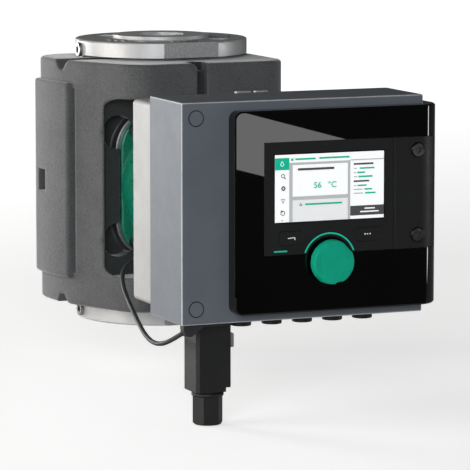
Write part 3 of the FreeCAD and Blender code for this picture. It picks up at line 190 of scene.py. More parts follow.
class Nodes:
    """A short way to place and join the nodes of one material."""

    def __init__(self, name):
        self.material = bpy.data.materials.new(name)
        self.material.use_nodes = True
        self.tree = self.material.node_tree
        self.shader = self.tree.nodes["Principled BSDF"]
        self.place = self.add("ShaderNodeTexCoord").outputs["Object"]

    def add(self, kind, **settings):
        node = self.tree.nodes.new(kind)
        for key, value in settings.items():
            setattr(node, key, value)
        return node

    def join(self, source, target):
        self.tree.links.new(source, target)

    def stretched(self, scale):
        node = self.add("ShaderNodeMapping")
        node.inputs["Scale"].default_value = scale
        self.join(self.place, node.inputs["Vector"])
        return node.outputs["Vector"]

    def noise(self, size_mm, detail=3.0, vector=None, rough=0.55):
        """Noise whose features are about size_mm across."""
        node = self.add("ShaderNodeTexNoise")
        node.inputs["Scale"].default_value = 1.0 / (size_mm * MM)
        node.inputs["Detail"].default_value = detail
        node.inputs["Roughness"].default_value = rough
        self.join(vector or self.place, node.inputs["Vector"])
        return node.outputs["Fac"]

    def cells(self, size_mm, feature="F1"):
        node = self.add("ShaderNodeTexVoronoi", feature=feature)
        node.inputs["Scale"].default_value = 1.0 / (size_mm * MM)
        self.join(self.place, node.inputs["Vector"])
        return node.outputs["Distance"]

    def ramp(self, source, low, high, from_low=0.3, from_high=0.7):
        """A source's range stretched to low..high."""
        node = self.add("ShaderNodeMapRange")
        node.inputs["From Min"].default_value = from_low
        node.inputs["From Max"].default_value = from_high
        node.inputs["To Min"].default_value = low
        node.inputs["To Max"].default_value = high
        self.join(source, node.inputs["Value"])
        return node.outputs["Result"]

    def blend(self, share, first, second):
        """Two colours mixed by a share; each is a colour or another node's output."""
        node = self.add("ShaderNodeMix", data_type="RGBA")
        self.join(share, node.inputs["Factor"])
        for socket, value in ((node.inputs[6], first), (node.inputs[7], second)):
            if isinstance(value, tuple):
                socket.default_value = value
            else:
                self.join(value, socket)
        return node.outputs[2]

    def maths(self, operation, first, second):
        node = self.add("ShaderNodeMath", operation=operation)
        for socket, value in ((node.inputs[0], first), (node.inputs[1], second)):
            if isinstance(value, (int, float)):
                socket.default_value = value
            else:
                self.join(value, socket)
        return node.outputs[0]

    def axes(self):
        node = self.add("ShaderNodeSeparateXYZ")
        self.join(self.place, node.inputs[0])
        return node.outputs

    def soft_normal(self, radius_mm):
        """The surface's normal, rounded over its edges."""
        node = self.add("ShaderNodeBevel", samples=4)
        node.inputs["Radius"].default_value = radius_mm * MM
        return node.outputs["Normal"]

    def edges(self, radius_mm):
        """1 along outer and inner edges, and 0 on open faces."""
        geometry = self.add("ShaderNodeNewGeometry")
        dot = self.add("ShaderNodeVectorMath", operation="DOT_PRODUCT")
        self.join(self.soft_normal(radius_mm), dot.inputs[0])
        self.join(geometry.outputs["Normal"], dot.inputs[1])
        return self.ramp(dot.outputs["Value"], 1.0, 0.0, 0.75, 0.98)

    def corners(self):
        """1 on rounded corners, and 0 on faces square to the axes."""
        geometry = self.add("ShaderNodeNewGeometry")
        parts = self.add("ShaderNodeSeparateXYZ")
        self.join(geometry.outputs["Normal"], parts.inputs[0])
        most = 0.0
        for output in parts.outputs:
            most = self.maths("MAXIMUM", self.maths("ABSOLUTE", output, 0.0), most)
        return self.ramp(most, 1.0, 0.0, 0.8, 0.97)

    def bump(self, height, depth_mm, below=None):
        node = self.add("ShaderNodeBump")
        node.inputs["Strength"].default_value = 1.0
        node.inputs["Distance"].default_value = depth_mm * MM
        self.join(height, node.inputs["Height"])
        if below is not None:
            self.join(below, node.inputs["Normal"])
        return node.outputs["Normal"]

    def finish(self, colour, rough, normal=None, **constants):
        self.join(colour, self.shader.inputs["Base Color"])
        self.join(rough, self.shader.inputs["Roughness"])
        if normal is not None:
            self.join(normal, self.shader.inputs["Normal"])
        for key, value in constants.items():
            self.shader.inputs[key.replace("_", " ")].default_value = value
        return self.material


def moulded(name, light, dark, rough, grain_mm=0.25, grain_depth=0.02, edge_mm=0.5, worn=None):
    """Injection-moulded plastic: fine spark-eroded grain, faint flow mottling and polished edges."""
    nodes = Nodes(name)
    mottle = nodes.ramp(nodes.noise(14), 0.0, 1.0)
    colour = nodes.blend(mottle, light, dark)
    rim = nodes.edges(edge_mm)
    scuff = nodes.maths("MULTIPLY", rim, nodes.ramp(nodes.noise(2.2), 0.15, 0.75))
    if worn is not None:
        colour = nodes.blend(scuff, colour, worn)
    spread = nodes.ramp(nodes.noise(5), rough - 0.05, rough + 0.06)
    normal = nodes.bump(nodes.noise(grain_mm, 2.0), grain_depth, nodes.soft_normal(edge_mm))
    return nodes.finish(colour, nodes.maths("SUBTRACT", spread, nodes.maths("MULTIPLY", scuff, 0.12)),
                        normal)


def metal(name, light, dark, rough, size_mm=1.2, depth=0.015, worn=None, stretch=None):
    """Bare or blasted metal with fine tool or grain marks."""
    edge_mm = 0.4
    nodes = Nodes(name)
    where = nodes.stretched(stretch) if stretch else None
    marks = nodes.noise(size_mm, 4.0, where)
    colour = nodes.blend(nodes.ramp(marks, 0.0, 1.0), light, dark)
    if worn is not None:
        colour = nodes.blend(nodes.maths("MULTIPLY", nodes.edges(edge_mm), 0.7), colour, worn)
    spread = nodes.ramp(nodes.noise(9), rough - 0.07, rough + 0.08)
    normal = nodes.bump(marks, depth, nodes.soft_normal(edge_mm))
    return nodes.finish(colour, spread, normal, Metallic=1.0)


def housing_paint(name):
    """Fine structured powder coat: orange peel, tiny grain, and a painted highlight, a light line on the
    rounded edges.
    """
    nodes = Nodes(name)
    cloud = nodes.ramp(nodes.noise(35, 2.0), 0.0, 1.0)
    colour = nodes.blend(cloud, tone(119, 124, 132), tone(112, 118, 127))
    speck = nodes.ramp(nodes.noise(0.35, 1.0), 0.0, 0.22, 0.55, 0.75)
    colour = nodes.blend(speck, colour, tone(140, 147, 154))
    # painted highlight: the rounded corners are lightened towards near white
    rim = nodes.maths("MULTIPLY", nodes.corners(), nodes.ramp(nodes.noise(3), 0.75, 1.0))
    colour = nodes.blend(rim, colour, tone(232, 234, 236))
    rough = nodes.ramp(nodes.noise(6), 0.5, 0.58)
    peel = nodes.bump(nodes.noise(1.1, 2.0), 0.012, nodes.soft_normal(0.9))
    grain = nodes.bump(nodes.noise(0.3, 1.0), 0.006, peel)
    return nodes.finish(colour, rough, grain)


RECESS_FRONT = (-0.0938, -0.0915)       # y over which the painted shade of the recess and the seam slot sets in
RECESS_HALF = 0.0675                    # half the recess's width and height, without its round
RECESS_ROUND = (0.0092, 0.0096)
SEAM_X = 0.0006
SEAM_HALF = (0.0049, 0.0051)


def bead_foam():
    """Moulded bead foam: close-packed beads with darker joints; the recess and the seam slot are
    darkened with painted shade.
    """
    nodes = Nodes("bead_foam")
    bead = nodes.cells(2.6)
    joint = nodes.ramp(nodes.cells(2.6, "DISTANCE_TO_EDGE"), 1.0, 0.0, 0.0, 0.12)
    shade = nodes.ramp(nodes.noise(22, 3.0), 0.0, 1.0)
    colour = nodes.blend(shade, tone(92, 93, 95), tone(78, 79, 81))
    fleck = nodes.ramp(nodes.noise(1.3, 2.0, rough=0.8), 0.0, 0.6, 0.4, 0.75)
    colour = nodes.blend(fleck, colour, tone(120, 121, 122))
    colour = nodes.blend(nodes.maths("MULTIPLY", joint, 0.35), colour, tone(50, 51, 52))
    x, y, z = nodes.axes()
    corner = []
    for place, middle in ((x, 0.0), (z, AXIS_Z)):
        away = nodes.maths("ABSOLUTE", nodes.maths("SUBTRACT", place, middle), 0.0)
        beyond = nodes.maths("MAXIMUM", nodes.maths("SUBTRACT", away, RECESS_HALF), 0.0)
        corner.append(nodes.maths("MULTIPLY", beyond, beyond))
    reach = nodes.maths("SQRT", nodes.maths("ADD", corner[0], corner[1]), 0.0)
    # painted shade: masks of the recess and of the seam slot, where the foam is darkened
    inside = nodes.maths("MULTIPLY", nodes.ramp(y, 0.0, 1.0, *RECESS_FRONT),
                         nodes.ramp(reach, 1.0, 0.0, *RECESS_ROUND))
    slot = nodes.maths("ABSOLUTE", nodes.maths("SUBTRACT", x, SEAM_X), 0.0)
    slot = nodes.maths("MULTIPLY", nodes.ramp(slot, 1.0, 0.0, *SEAM_HALF),
                       nodes.ramp(y, 0.0, 1.0, *RECESS_FRONT))
    recess_shade = nodes.maths("MAXIMUM", inside, slot)
    # painted shade: the recess and the seam slot are darkened towards tone(30, 31, 32)
    colour = nodes.blend(nodes.maths("MULTIPLY", recess_shade, 0.8), colour, tone(30, 31, 32))
    rough = nodes.ramp(nodes.noise(3), 0.62, 0.78)
    hills = nodes.bump(bead, 0.16, nodes.soft_normal(4.0))
    grain = nodes.bump(nodes.noise(0.6, 3.0, rough=0.7), 0.09, hills)
    return nodes.finish(colour, rough, grain, Sheen_Weight=0.6, Sheen_Roughness=0.4)


RIM_REACH = (0.0730, 0.0734)            # the turned rim, from the pipe axis
RIM_FLAT_Y = (-0.0708, -0.0705)         # the flat on the rim stays cast
FACE_HEIGHT = (0.1221, 0.1224)          # the raised face, from the motor axis
FACE_REACH = (0.0424, 0.0428)


def flange_metal():
    """Machined flange rims and faces on a casting that is grit blasted everywhere else."""
    nodes = Nodes("flange_casting")
    x, y, z = nodes.axes()
    squares = nodes.maths("ADD", nodes.maths("MULTIPLY", x, x), nodes.maths("MULTIPLY", y, y))
    around = nodes.maths("SQRT", squares, 0.0)
    rim = nodes.maths("MULTIPLY", nodes.ramp(around, 0.0, 1.0, *RIM_REACH),
                      nodes.ramp(y, 0.0, 1.0, *RIM_FLAT_Y))
    above = nodes.maths("ABSOLUTE", nodes.maths("SUBTRACT", z, AXIS_Z), 0.0)
    raised = nodes.maths("MULTIPLY", nodes.ramp(above, 0.0, 1.0, *FACE_HEIGHT),
                         nodes.ramp(around, 1.0, 0.0, *FACE_REACH))
    turned = nodes.maths("MAXIMUM", rim, raised)
    cast = nodes.noise(0.9, 4.0, rough=0.7)
    cast_colour = nodes.blend(nodes.ramp(cast, 0.0, 1.0), tone(222, 222, 222), tone(140, 140, 141))
    worn = nodes.maths("MULTIPLY", nodes.edges(0.7), 0.6)
    cast_colour = nodes.blend(worn, cast_colour, tone(220, 220, 220))
    bright = nodes.blend(nodes.ramp(nodes.noise(30), 0.0, 1.0), tone(226, 226, 226), tone(206, 207, 209))
    colour = nodes.blend(turned, cast_colour, bright)
    rough = nodes.maths("SUBTRACT", nodes.ramp(nodes.noise(4), 0.5, 0.58),
                        nodes.maths("MULTIPLY", turned, 0.14))
    pits = nodes.maths("MULTIPLY", cast, nodes.maths("SUBTRACT", 1.0, turned))
    return nodes.finish(colour, rough, nodes.bump(pits, 0.3), Metallic=0.35)


def motor_paint():
    """Satin enamel over the cast motor housing."""
    nodes = Nodes("motor_enamel")
    colour = nodes.blend(nodes.ramp(nodes.noise(18), 0.0, 1.0), tone(0, 126, 98), tone(0, 120, 92))
    rough = nodes.ramp(nodes.noise(7), 0.24, 0.32)
    peel = nodes.bump(nodes.noise(3.0, 1.0), 0.003, nodes.soft_normal(1.0))
    return nodes.finish(colour, rough, peel, Coat_Weight=0.5, Coat_Roughness=0.2)


def panel_gloss():
    """High-gloss black front, with faint wiping marks in the polish."""
    nodes = Nodes("panel_gloss_black")
    colour = nodes.blend(nodes.ramp(nodes.noise(40), 0.0, 1.0), tone(6, 6, 7), tone(3, 3, 4))
    wiped = nodes.noise(3.0, 3.0, nodes.stretched((1.0, 1.0, 0.15)))
    rough = nodes.ramp(wiped, 0.004, 0.012)
    return nodes.finish(colour, rough, nodes.soft_normal(0.2), IOR=1.5)


def lit(name, colour, strength, rough=0.35):
    """Light guide, picture element or key mark that glows by itself; on the key marks the glow is
    painted light.
    """
    nodes = Nodes(name)
    dimmer = tuple(c * 0.93 for c in colour[:3]) + (1.0,)
    shade = nodes.blend(nodes.ramp(nodes.noise(4), 0.0, 1.0), colour, dimmer)
    spread = nodes.ramp(nodes.noise(2), rough - 0.04, rough + 0.04)
    return nodes.finish(shade, spread, None, Emission_Color=colour, Emission_Strength=strength)


def rubber_jacket():
    nodes = Nodes("lead_jacket")
    colour = nodes.blend(nodes.ramp(nodes.noise(8), 0.0, 1.0), tone(58, 58, 60), tone(44, 44, 46))
    rough = nodes.ramp(nodes.noise(2), 0.42, 0.55)
    return nodes.finish(colour, rough, nodes.bump(nodes.noise(0.5, 2.0), 0.02))


def winding_copper():
    nodes = Nodes("enamelled_copper")
    strand = nodes.noise(0.8, 2.0, nodes.stretched((1.0, 0.05, 1.0)))
    colour = nodes.blend(nodes.ramp(strand, 0.0, 1.0), tone(214, 126, 70), tone(140, 70, 34))
    rough = nodes.ramp(nodes.noise(3), 0.28, 0.4)
    return nodes.finish(colour, rough, nodes.bump(strand, 0.1), Metallic=1.0)


def make_finishes():
    """Every material, under the record's slot names."""
    return {
        "stainless": flange_metal(),
        "stainless_ring": metal("turned_ring", tone(200, 200, 200), tone(170, 170, 170), 0.3),
        "rubber": moulded("seal_rubber", tone(34, 34, 34), tone(26, 26, 26), 0.6, 0.5, 0.03),
        "plug_steel": metal("satin_plug", tone(190, 190, 190), tone(150, 150, 150), 0.35),
        "bearing_plate": metal("pressed_plate", tone(190, 190, 188), tone(160, 160, 158), 0.34),
        "carbon": moulded("carbon_bush", tone(48, 48, 50), tone(36, 36, 38), 0.35),
        "can_steel": metal("drawn_can", tone(205, 205, 205), tone(175, 175, 175), 0.25),
        "lamination": metal("stacked_sheet", tone(110, 110, 114), tone(70, 70, 74), 0.45, 0.5, 0.05,
                            stretch=(0.1, 4.0, 0.1)),
        "copper": winding_copper(),
        "cast_flange": metal("cast_flange", tone(178, 178, 178), tone(140, 140, 140), 0.45, 0.9, 0.12,
                             worn=tone(225, 225, 225)),
        "motor_green": motor_paint(),
        "screw_steel": metal("plated_screw", tone(120, 120, 118), tone(84, 84, 84), 0.38),
        "heat_sink": heat_sink_alloy(),
        "module_grey": housing_paint("housing_powder_coat"),
        "cap_grey": housing_paint("cap_powder_coat"),
        "board": moulded("solder_mask", tone(12, 92, 52), tone(8, 74, 42), 0.3, 0.6, 0.02),
        "capacitor": moulded("capacitor_sleeve", tone(30, 42, 66), tone(22, 32, 54), 0.3),
        "panel_gloss": panel_gloss(),
        "band_matt": moulded("matt_black_band", tone(27, 27, 28), tone(24, 24, 25), 0.5, 0.16, 0.006,
                             0.15),
        "display_glass": moulded("window_black", tone(10, 10, 11), tone(8, 8, 9), 0.1),
        "lcd_frame": moulded("display_frame", tone(44, 44, 45), tone(36, 36, 37), 0.5),
        "screw_black": moulded("screw_gloss", tone(4, 4, 5), tone(3, 3, 4), 0.1, 0.4, 0.003, 0.3),
        "light_green": lit("light_guide_green", tone(0, 184, 152), 0.5),
        "switch_black": moulded("switch_case", tone(34, 34, 34), tone(26, 26, 26), 0.5),
        "stem_steel": metal("ground_steel", tone(190, 190, 190), tone(160, 160, 160), 0.25),
        "knob_green": knob_skin(),
        "plug_black": moulded("connector_black", tone(32, 32, 33), tone(26, 26, 27), 0.42, 0.22, 0.02,
                              0.5, tone(84, 84, 86)),
        "socket_grey": moulded("socket_plastic", tone(64, 64, 66), tone(54, 54, 56), 0.45, 0.22, 0.02,
                               0.5, tone(120, 120, 122)),
        "latch_grey": moulded("latch_plastic", tone(150, 151, 154), tone(136, 137, 140), 0.4, 0.22,
                              0.015, 0.4, tone(196, 196, 198)),
        "lead_black": rubber_jacket(),
        "connector_grey": moulded("sensor_plug", tone(56, 56, 58), tone(46, 46, 48), 0.45, 0.22, 0.02,
                                  0.5, tone(104, 104, 106)),
        "shell_foam": bead_foam(),
        "impeller_polymer": moulded("filled_polymer", tone(96, 84, 70), tone(80, 70, 58), 0.42),
    }


def heat_sink_alloy():
    """Blasted light alloy with a satin, slightly cloudy skin."""
    nodes = Nodes("blasted_alloy")
    cloud = nodes.ramp(nodes.noise(26, 2.0), 0.0, 1.0)
    colour = nodes.blend(cloud, tone(188, 188, 187), tone(178, 178, 178))
    fleck = nodes.ramp(nodes.noise(0.6, 2.0), 0.0, 0.5, 0.5, 0.75)
    colour = nodes.blend(fleck, colour, tone(202, 202, 202))
    colour = nodes.blend(nodes.maths("MULTIPLY", nodes.edges(0.8), 0.6), colour, tone(226, 226, 226))
    rough = nodes.ramp(nodes.noise(5), 0.5, 0.62)
    normal = nodes.bump(nodes.noise(0.5, 3.0), 0.05, nodes.soft_normal(0.9))
    return nodes.finish(colour, rough, normal, Metallic=0.2)


def knob_skin():
    """Soft-touch green with a fine grain; the rim's ridges carry a painted highlight in lighter green.
    """
    nodes = Nodes("knob_soft_green")
    colour = nodes.blend(nodes.ramp(nodes.noise(12), 0.0, 1.0), tone(0, 202, 164), tone(0, 194, 156))
    # painted highlight: the edges of the rim's ridges are lightened
    rim = nodes.maths("MULTIPLY", nodes.edges(0.5), nodes.ramp(nodes.noise(1.6), 0.2, 0.7))
    colour = nodes.blend(rim, colour, tone(40, 214, 180))
    rough = nodes.ramp(nodes.noise(2.5), 0.5, 0.6)
    normal = nodes.bump(nodes.noise(0.22, 2.0), 0.01, nodes.soft_normal(0.2))
    return nodes.finish(colour, rough, normal, Specular_IOR_Level=0.3)


# ---------------------------------------------------------------- sensor lead

LEAD = [(-38, -71, 68), (-40, -83, 68.5), (-50, -93, 69), (-63, -98.5, 67), (-74, -106, 62.5),
        (-82.5, -119, 57), (-88.5, -137, 50.5), (-93.5, -160, 43.5), (-98, -185, 36.5),
        (-102.5, -211, 29.5), (-106.5, -236, 24), (-109, -259, 21.8), (-108.5, -277, 23.5),
        (-104.5, -289, 28.5), (-98.5, -296, 34.5)]
LEAD_R = 0.0019


def make_lead(finish):
    """The sensor's thin lead, one smooth line from the grommet to the connector."""
    line = bpy.data.curves.new("sensor_lead_line", "CURVE")
    line.dimensions = "3D"
    spline = line.splines.new("NURBS")
    spline.points.add(len(LEAD) - 1)
    for point, place in zip(spline.points, LEAD):
        point.co = (place[0] * MM, place[1] * MM, place[2] * MM, 1.0)
    spline.order_u = 3
    spline.use_endpoint_u = True
    line.resolution_u = 16
    line.bevel_depth = LEAD_R
    line.bevel_resolution = 5
    line.use_fill_caps = True
    lead = bpy.data.objects.new("sensor_lead_jacket", line)
    bpy.context.scene.collection.objects.link(lead)
    line.materials.append(finish)
    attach(lead, "pump")
    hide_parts("sensor_lead")


# ---------------------------------------------------------------- display

SCREEN_LEFT = -30.65
SCREEN_TOP = 176.1
SCREEN_W = 95.0
SCREEN_H = 53.9
SCREEN_Y = -322.55
LAYER = 0.04


def picture_tiles(name, tiles, layer, material):
    """Flat tiles of the display's picture: left, right, top and bottom, from its top left corner."""
    pieces = []
    for left, right, top, bottom in tiles:
        pieces.append(add_block((SCREEN_LEFT + left, SCREEN_LEFT + right),
                                (SCREEN_Y - LAYER * layer, SCREEN_Y + 0.2),
                                (SCREEN_TOP - bottom, SCREEN_TOP - top)))
    return picture_part(name, join(pieces), material)


def picture_part(name, piece, material):
    finish_piece(piece, name, material)
    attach(piece, "pump")
    return piece


def arc_mark(radius, thick, u, v, layer, cuts):
    """Part of a ring on the picture; cuts are the directions that go, as x and z."""
    centre = (SCREEN_LEFT + u, SCREEN_Y - LAYER * layer, SCREEN_TOP - v)
    hoop = add_hoop(radius, thick, centre, 32)
    for across, up in cuts:
        cut_away(hoop, centre, (across, 0, up))
    return hoop


def bar_mark(start, end, thick, layer):
    """A straight stroke on the picture between two places."""
    y = SCREEN_Y - LAYER * layer
    return add_rod(thick, (SCREEN_LEFT + start[0], y, SCREEN_TOP - start[1]),
                   (SCREEN_LEFT + end[0], y, SCREEN_TOP - end[1]), 8)


def drop_mark(u, v, layer):
    """The outline of a water drop."""
    marks = [arc_mark(1.35, 0.22, u, v + 0.5, layer, [(0, 1)])]
    for side in (-1, 1):
        marks.append(bar_mark((u + side * 1.35, v + 0.5), (u, v - 2.0), 0.22, layer))
    return join(marks)


def word_bars(words):
    """Plain bars that stand for lines of words: left, right, middle and height."""
    return [(left, right, middle - height / 2, middle + height / 2)
            for left, right, middle, height in words]


def make_display(white, pale, grey, dark, green):
    """The glass, and the picture of a control page in plain blocks, icons and one reading."""
    glass = add_block((SCREEN_LEFT - 0.6, SCREEN_LEFT + SCREEN_W + 0.6), (-322.6, -319.5),
                      (SCREEN_TOP - SCREEN_H - 0.6, SCREEN_TOP + 0.6))
    soften(glass, 0.2)
    finish_piece(glass, "display_glass", FINISH["display_glass"])
    pick(glass, lambda centre, normal: normal.y < -0.9 and centre.y < -322.55)
    bpy.ops.mesh.inset(thickness=0.55 * MM, depth=-0.1 * MM)
    bpy.ops.object.mode_set(mode="OBJECT")
    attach(glass, "pump")
    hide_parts("display_window")
    picture_tiles("picture_page", [(0, SCREEN_W, 0, SCREEN_H)], 0, white)
    gaps = [(12.6, 65.5, 6.6, 8.6), (12.4, 15.4, 8.6, 53.8), (63.2, 65.5, 8.6, 53.8),
            (15.4, 63.2, 33.6, 36.6), (65.5, 94.9, 6.0, 7.0)]
    picture_tiles("picture_gaps", gaps, 1, grey)
    picture_tiles("picture_lower_field", [(15.4, 63.2, 36.6, 53.8)], 1, pale)
    picture_tiles("picture_home_tab", [(0.2, 12.6, 2.6, 12.2)], 1, green)
    picture_part("picture_home_icon", drop_mark(6.4, 7.2, 1.5), white)
    greens = [(17.6, 35.2, 4.0, 1.5), (38.3, 64.8, 3.8, 1.5), (14.0, 16.2, 4.2, 2.0),
              (26.2, 58.4, 40.2, 1.5), (73.5, 86.6, 13.4, 1.3), (71.4, 78.4, 16.8, 1.3),
              (72.6, 85.0, 20.1, 1.4), (71.7, 79.8, 27.2, 1.3), (77.8, 84.6, 30.3, 1.3),
              (78.4, 87.6, 33.4, 1.4)]
    picture_tiles("picture_green_lines", word_bars(greens), 2, green)
    darks = [(19.8, 51.4, 12.2, 1.9), (68.4, 85.6, 9.9, 1.5), (68.4, 82.0, 23.7, 1.4)]
    picture_tiles("picture_headings", word_bars(darks), 2, dark)
    picture_tiles("picture_button", [(65.5, 94.9, 43.3, 51.2)], 1, dark)
    tabs = [(78.0, 87.0, 45.7, 1.0), (74.2, 90.4, 48.3, 1.0)]
    picture_tiles("picture_button_lines", word_bars(tabs), 2, white)
    small = [(68.4, 71.0, 13.4, 1.0), (68.4, 70.6, 16.8, 1.0), (68.4, 71.4, 20.1, 1.0),
             (68.4, 70.8, 27.2, 1.0), (68.4, 76.2, 30.3, 1.0), (68.4, 76.6, 33.4, 1.0)]
    picture_tiles("picture_small_lines", word_bars(small), 2, grey)
    picture_part("picture_icons", make_icons(), dark)
    make_reading(green)


def make_icons():
    """The side column: a magnifier, a gear ring, a radio sign and a return arrow."""
    marks = [arc_mark(1.35, 0.32, 7.1, 17.0, 1, []), bar_mark((8.1, 18.1), (9.4, 19.5), 0.36, 1)]
    marks.append(arc_mark(1.2, 0.5, 7.4, 26.8, 1, []))
    for tooth in range(8):
        angle = math.radians(45 * tooth)
        marks.append(bar_mark((7.4 + 1.3 * math.cos(angle), 26.8 + 1.3 * math.sin(angle)),
                              (7.4 + 2.1 * math.cos(angle), 26.8 + 2.1 * math.sin(angle)), 0.34, 1))
    for radius in (1.7, 3.1):
        marks.append(arc_mark(radius, 0.28, 7.2, 38.4, 1, [(1, -0.8), (-1, -0.8)]))
    marks.append(arc_mark(0.2, 0.4, 7.2, 38.2, 1, []))
    for cut in ((-1, 0.25), (1, 0)):
        marks.append(arc_mark(1.7, 0.32, 6.9, 46.4, 1, [cut]))
    marks.append(bar_mark((5.4, 43.9), (5.4, 45.7), 0.3, 1))
    marks.append(bar_mark((5.4, 45.7), (7.2, 45.2), 0.3, 1))
    marks.append(arc_mark(0.25, 0.3, 6.4, 52.4, 1, []))
    for side in (-1, 1):
        marks.append(bar_mark((22.4, 39.2), (22.4 + side * 1.1, 41.0), 0.26, 2))
    marks.append(bar_mark((21.3, 41.0), (23.5, 41.0), 0.26, 2))
    return join(marks)


def make_reading(material):
    """The one reading on the page, in plain figures."""
    for name, words, left in (("picture_figure", "56", 33.6), ("picture_unit", "°C", 46.0)):
        deselect()
        bpy.ops.object.text_add(location=((SCREEN_LEFT + left) * MM, (SCREEN_Y + 0.1) * MM,
                                          (SCREEN_TOP - 27.6) * MM), rotation=(math.radians(90), 0, 0))
        text = bpy.context.object
        text.data.body = words
        text.data.size = 6.8 * MM
        text.data.extrude = 0.2 * MM
        text.data.offset = 0.12 * MM
        text.data.resolution_u = 4
        choose(text)
        bpy.ops.object.convert(target="MESH")
        picture_part(name, bpy.context.object, material)


# ---------------------------------------------------------------- keys and knob

KNOB_X = 16.85
KNOB_Z = 89.4
BAND_Y = -322.6
CAP_X = -92.3
CAP_Z = (54.9, 206.1)


def make_key_marks(white, dim_glowing_grey):
    """The printed signs on the two keys, and the thin lines beside them; both glow a little by
    themselves, which is painted light.
    """
    y = BAND_Y - 0.12
    x, z = -16.3, 109.2
    arrow = [add_rod(0.36, (x - 2.4, y, z + 0.2), (x + 3.0, y, z + 0.6), 8),
             add_rod(0.36, (x + 3.0, y, z + 0.7), (x + 3.0, y, z - 1.3), 8)]
    deselect()
    bpy.ops.mesh.primitive_cone_add(vertices=3, radius1=1.25 * MM, depth=0.2 * MM,
                                    location=((x - 2.6) * MM, (y + 0.02) * MM, (z + 0.2) * MM),
                                    rotation=(math.radians(90), math.radians(-90), 0))
    arrow.append(settle(bpy.context.object))
    back = finish_piece(join(arrow), "back_key_arrow", white, 40)
    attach(back, "back_key")
    dots = []
    for x in (50.1 - 2.2, 50.1 + 0.0, 50.1 + 2.2):
        dots.append(soften(add_rod(0.62, (x, y - 0.02, 109.7), (x, y + 0.2, 109.7), 20), 0.08))
    menu = finish_piece(join(dots), "menu_key_dots", white, 40)
    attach(menu, "menu_key")
    lines = [add_block((-6.1, -5.85), (BAND_Y - 0.03, BAND_Y + 0.1), (105.8, 113.6)),
             add_block((60.55, 60.8), (BAND_Y - 0.03, BAND_Y + 0.1), (105.8, 113.6))]
    rules = finish_piece(join(lines), "key_divider_lines", dim_glowing_grey)
    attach(rules, "pump")


def make_knob():
    """The knob: a slightly domed face, a chamfer, and uneven dents that fall in two bands across it."""
    front, back = -332.3, -326.2
    notches = 30
    deselect()
    bpy.ops.mesh.primitive_cone_add(vertices=notches * 3, radius1=17.9 * MM, radius2=17.2 * MM,
                                    depth=(back - front) * MM,
                                    location=(KNOB_X * MM, (front + back) / 2 * MM, KNOB_Z * MM),
                                    rotation=(math.radians(90), 0, 0))
    knob = settle(bpy.context.object)
    pick(knob, lambda centre, normal: normal.y < -0.9)
    centre = Vector((KNOB_X, front, KNOB_Z)) * MM
    for inward, rise in ((0.95, -0.4), (0.985, -0.1), (0.7, -0.05)):
        bpy.ops.mesh.extrude_region_move()
        bpy.ops.transform.resize(value=(inward, 1.0, inward), center_override=centre)
        bpy.ops.transform.translate(value=(0, rise * MM, 0))
    bpy.ops.object.mode_set(mode="OBJECT")

    def on_dent(place, normal):
        across, up = place.x / MM - KNOB_X, place.z / MM - KNOB_Z
        if math.hypot(across, up) < 16.4:
            return False
        step = math.degrees(math.atan2(up, across)) / (120 / notches)
        return int(math.floor(step)) % 3 == 0

    pick(knob, on_dent)
    bpy.ops.mesh.inset(thickness=0.1 * MM, depth=-0.8 * MM, use_individual=False)
    bpy.ops.object.mode_set(mode="OBJECT")
    stem = add_rod(2.9, (KNOB_X, back + 0.2, KNOB_Z), (KNOB_X, -318.0, KNOB_Z), 32)
    knob = join([knob, soften(stem, 0.2)])
    finish_piece(knob, "knob_cap", FINISH["knob_green"], 28)
    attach(knob, "knob")
    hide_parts("knob")


# ---------------------------------------------------------------- other details

def make_plug_mark():
    """A shallow moulded check mark on the plug's left face, and grip lines on the latch."""
    lines = []
    for step in range(3):
        z = 22.9 + step * 2.6
        lines.append(soften(add_block((-53.9, -53.3), (-292.1, -282.9), (z, z + 1.1)), 0.2))
    ribs = finish_piece(join(lines), "latch_grip_ribs", FINISH["latch_grey"], 40)
    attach(ribs, "plug_latch")
    tick = [add_rod(0.25, (-86.0, -289.5, 32.5), (-86.0, -285.0, 31.0), 8),
            add_rod(0.25, (-86.0, -285.0, 31.0), (-86.0, -283.5, 33.0), 8)]
    mark = finish_piece(join(tick), "plug_moulded_tick", FINISH["plug_black"], 40)
    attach(mark, "power_plug")


def make_joint_shade():
    """Painted shade: a dark ring in the joint round each screw cap, and a dark block over the seam
    beside the slot cover.
    """
    # painted shade: dark rings in the joints round the screw caps
    rings = [add_hoop(6.1, 0.42, (CAP_X, -310.0, z), 48) for z in CAP_Z]
    cap_joint_shade = finish_piece(join(rings), "screw_cap_joint_shade", FINISH["rubber"], 40)
    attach(cap_joint_shade, "pump")
    # painted shade: a matt dark block over the glossy sliver in the seam, which hides its reflection
    seam_shade = soften(add_block((73.3, 75.0), (-323.08, -322.0), (96.2, 185.9)), 0.08)
    finish_piece(seam_shade, "slot_seam_painted_shade", FINISH["rubber"], 40)
    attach(seam_shade, "pump")


def make_flange_marks():
    """Low cast pads on the flange's rim face, spaced like a founder's marks but blank."""
    pads = []
    for angle in (-160, -152, -144, -100, -94, -88, -82, -36, -28, -20):
        a = math.radians(angle)
        x, y = 58.5 * math.cos(a), 58.5 * math.sin(a)
        pad = add_block((-1.6, 1.6), (-2.6, 2.6), (246.8, 247.7))
        choose(pad)
        pad.rotation_euler = (0, 0, a)
        pad.location = (x * MM, y * MM, 0)
        pads.append(soften(settle(pad), 0.35))
    marks = finish_piece(join(pads), "flange_blank_pads", FINISH["plug_steel"], 40)
    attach(marks, "pump")


# ---------------------------------------------------------------- studio

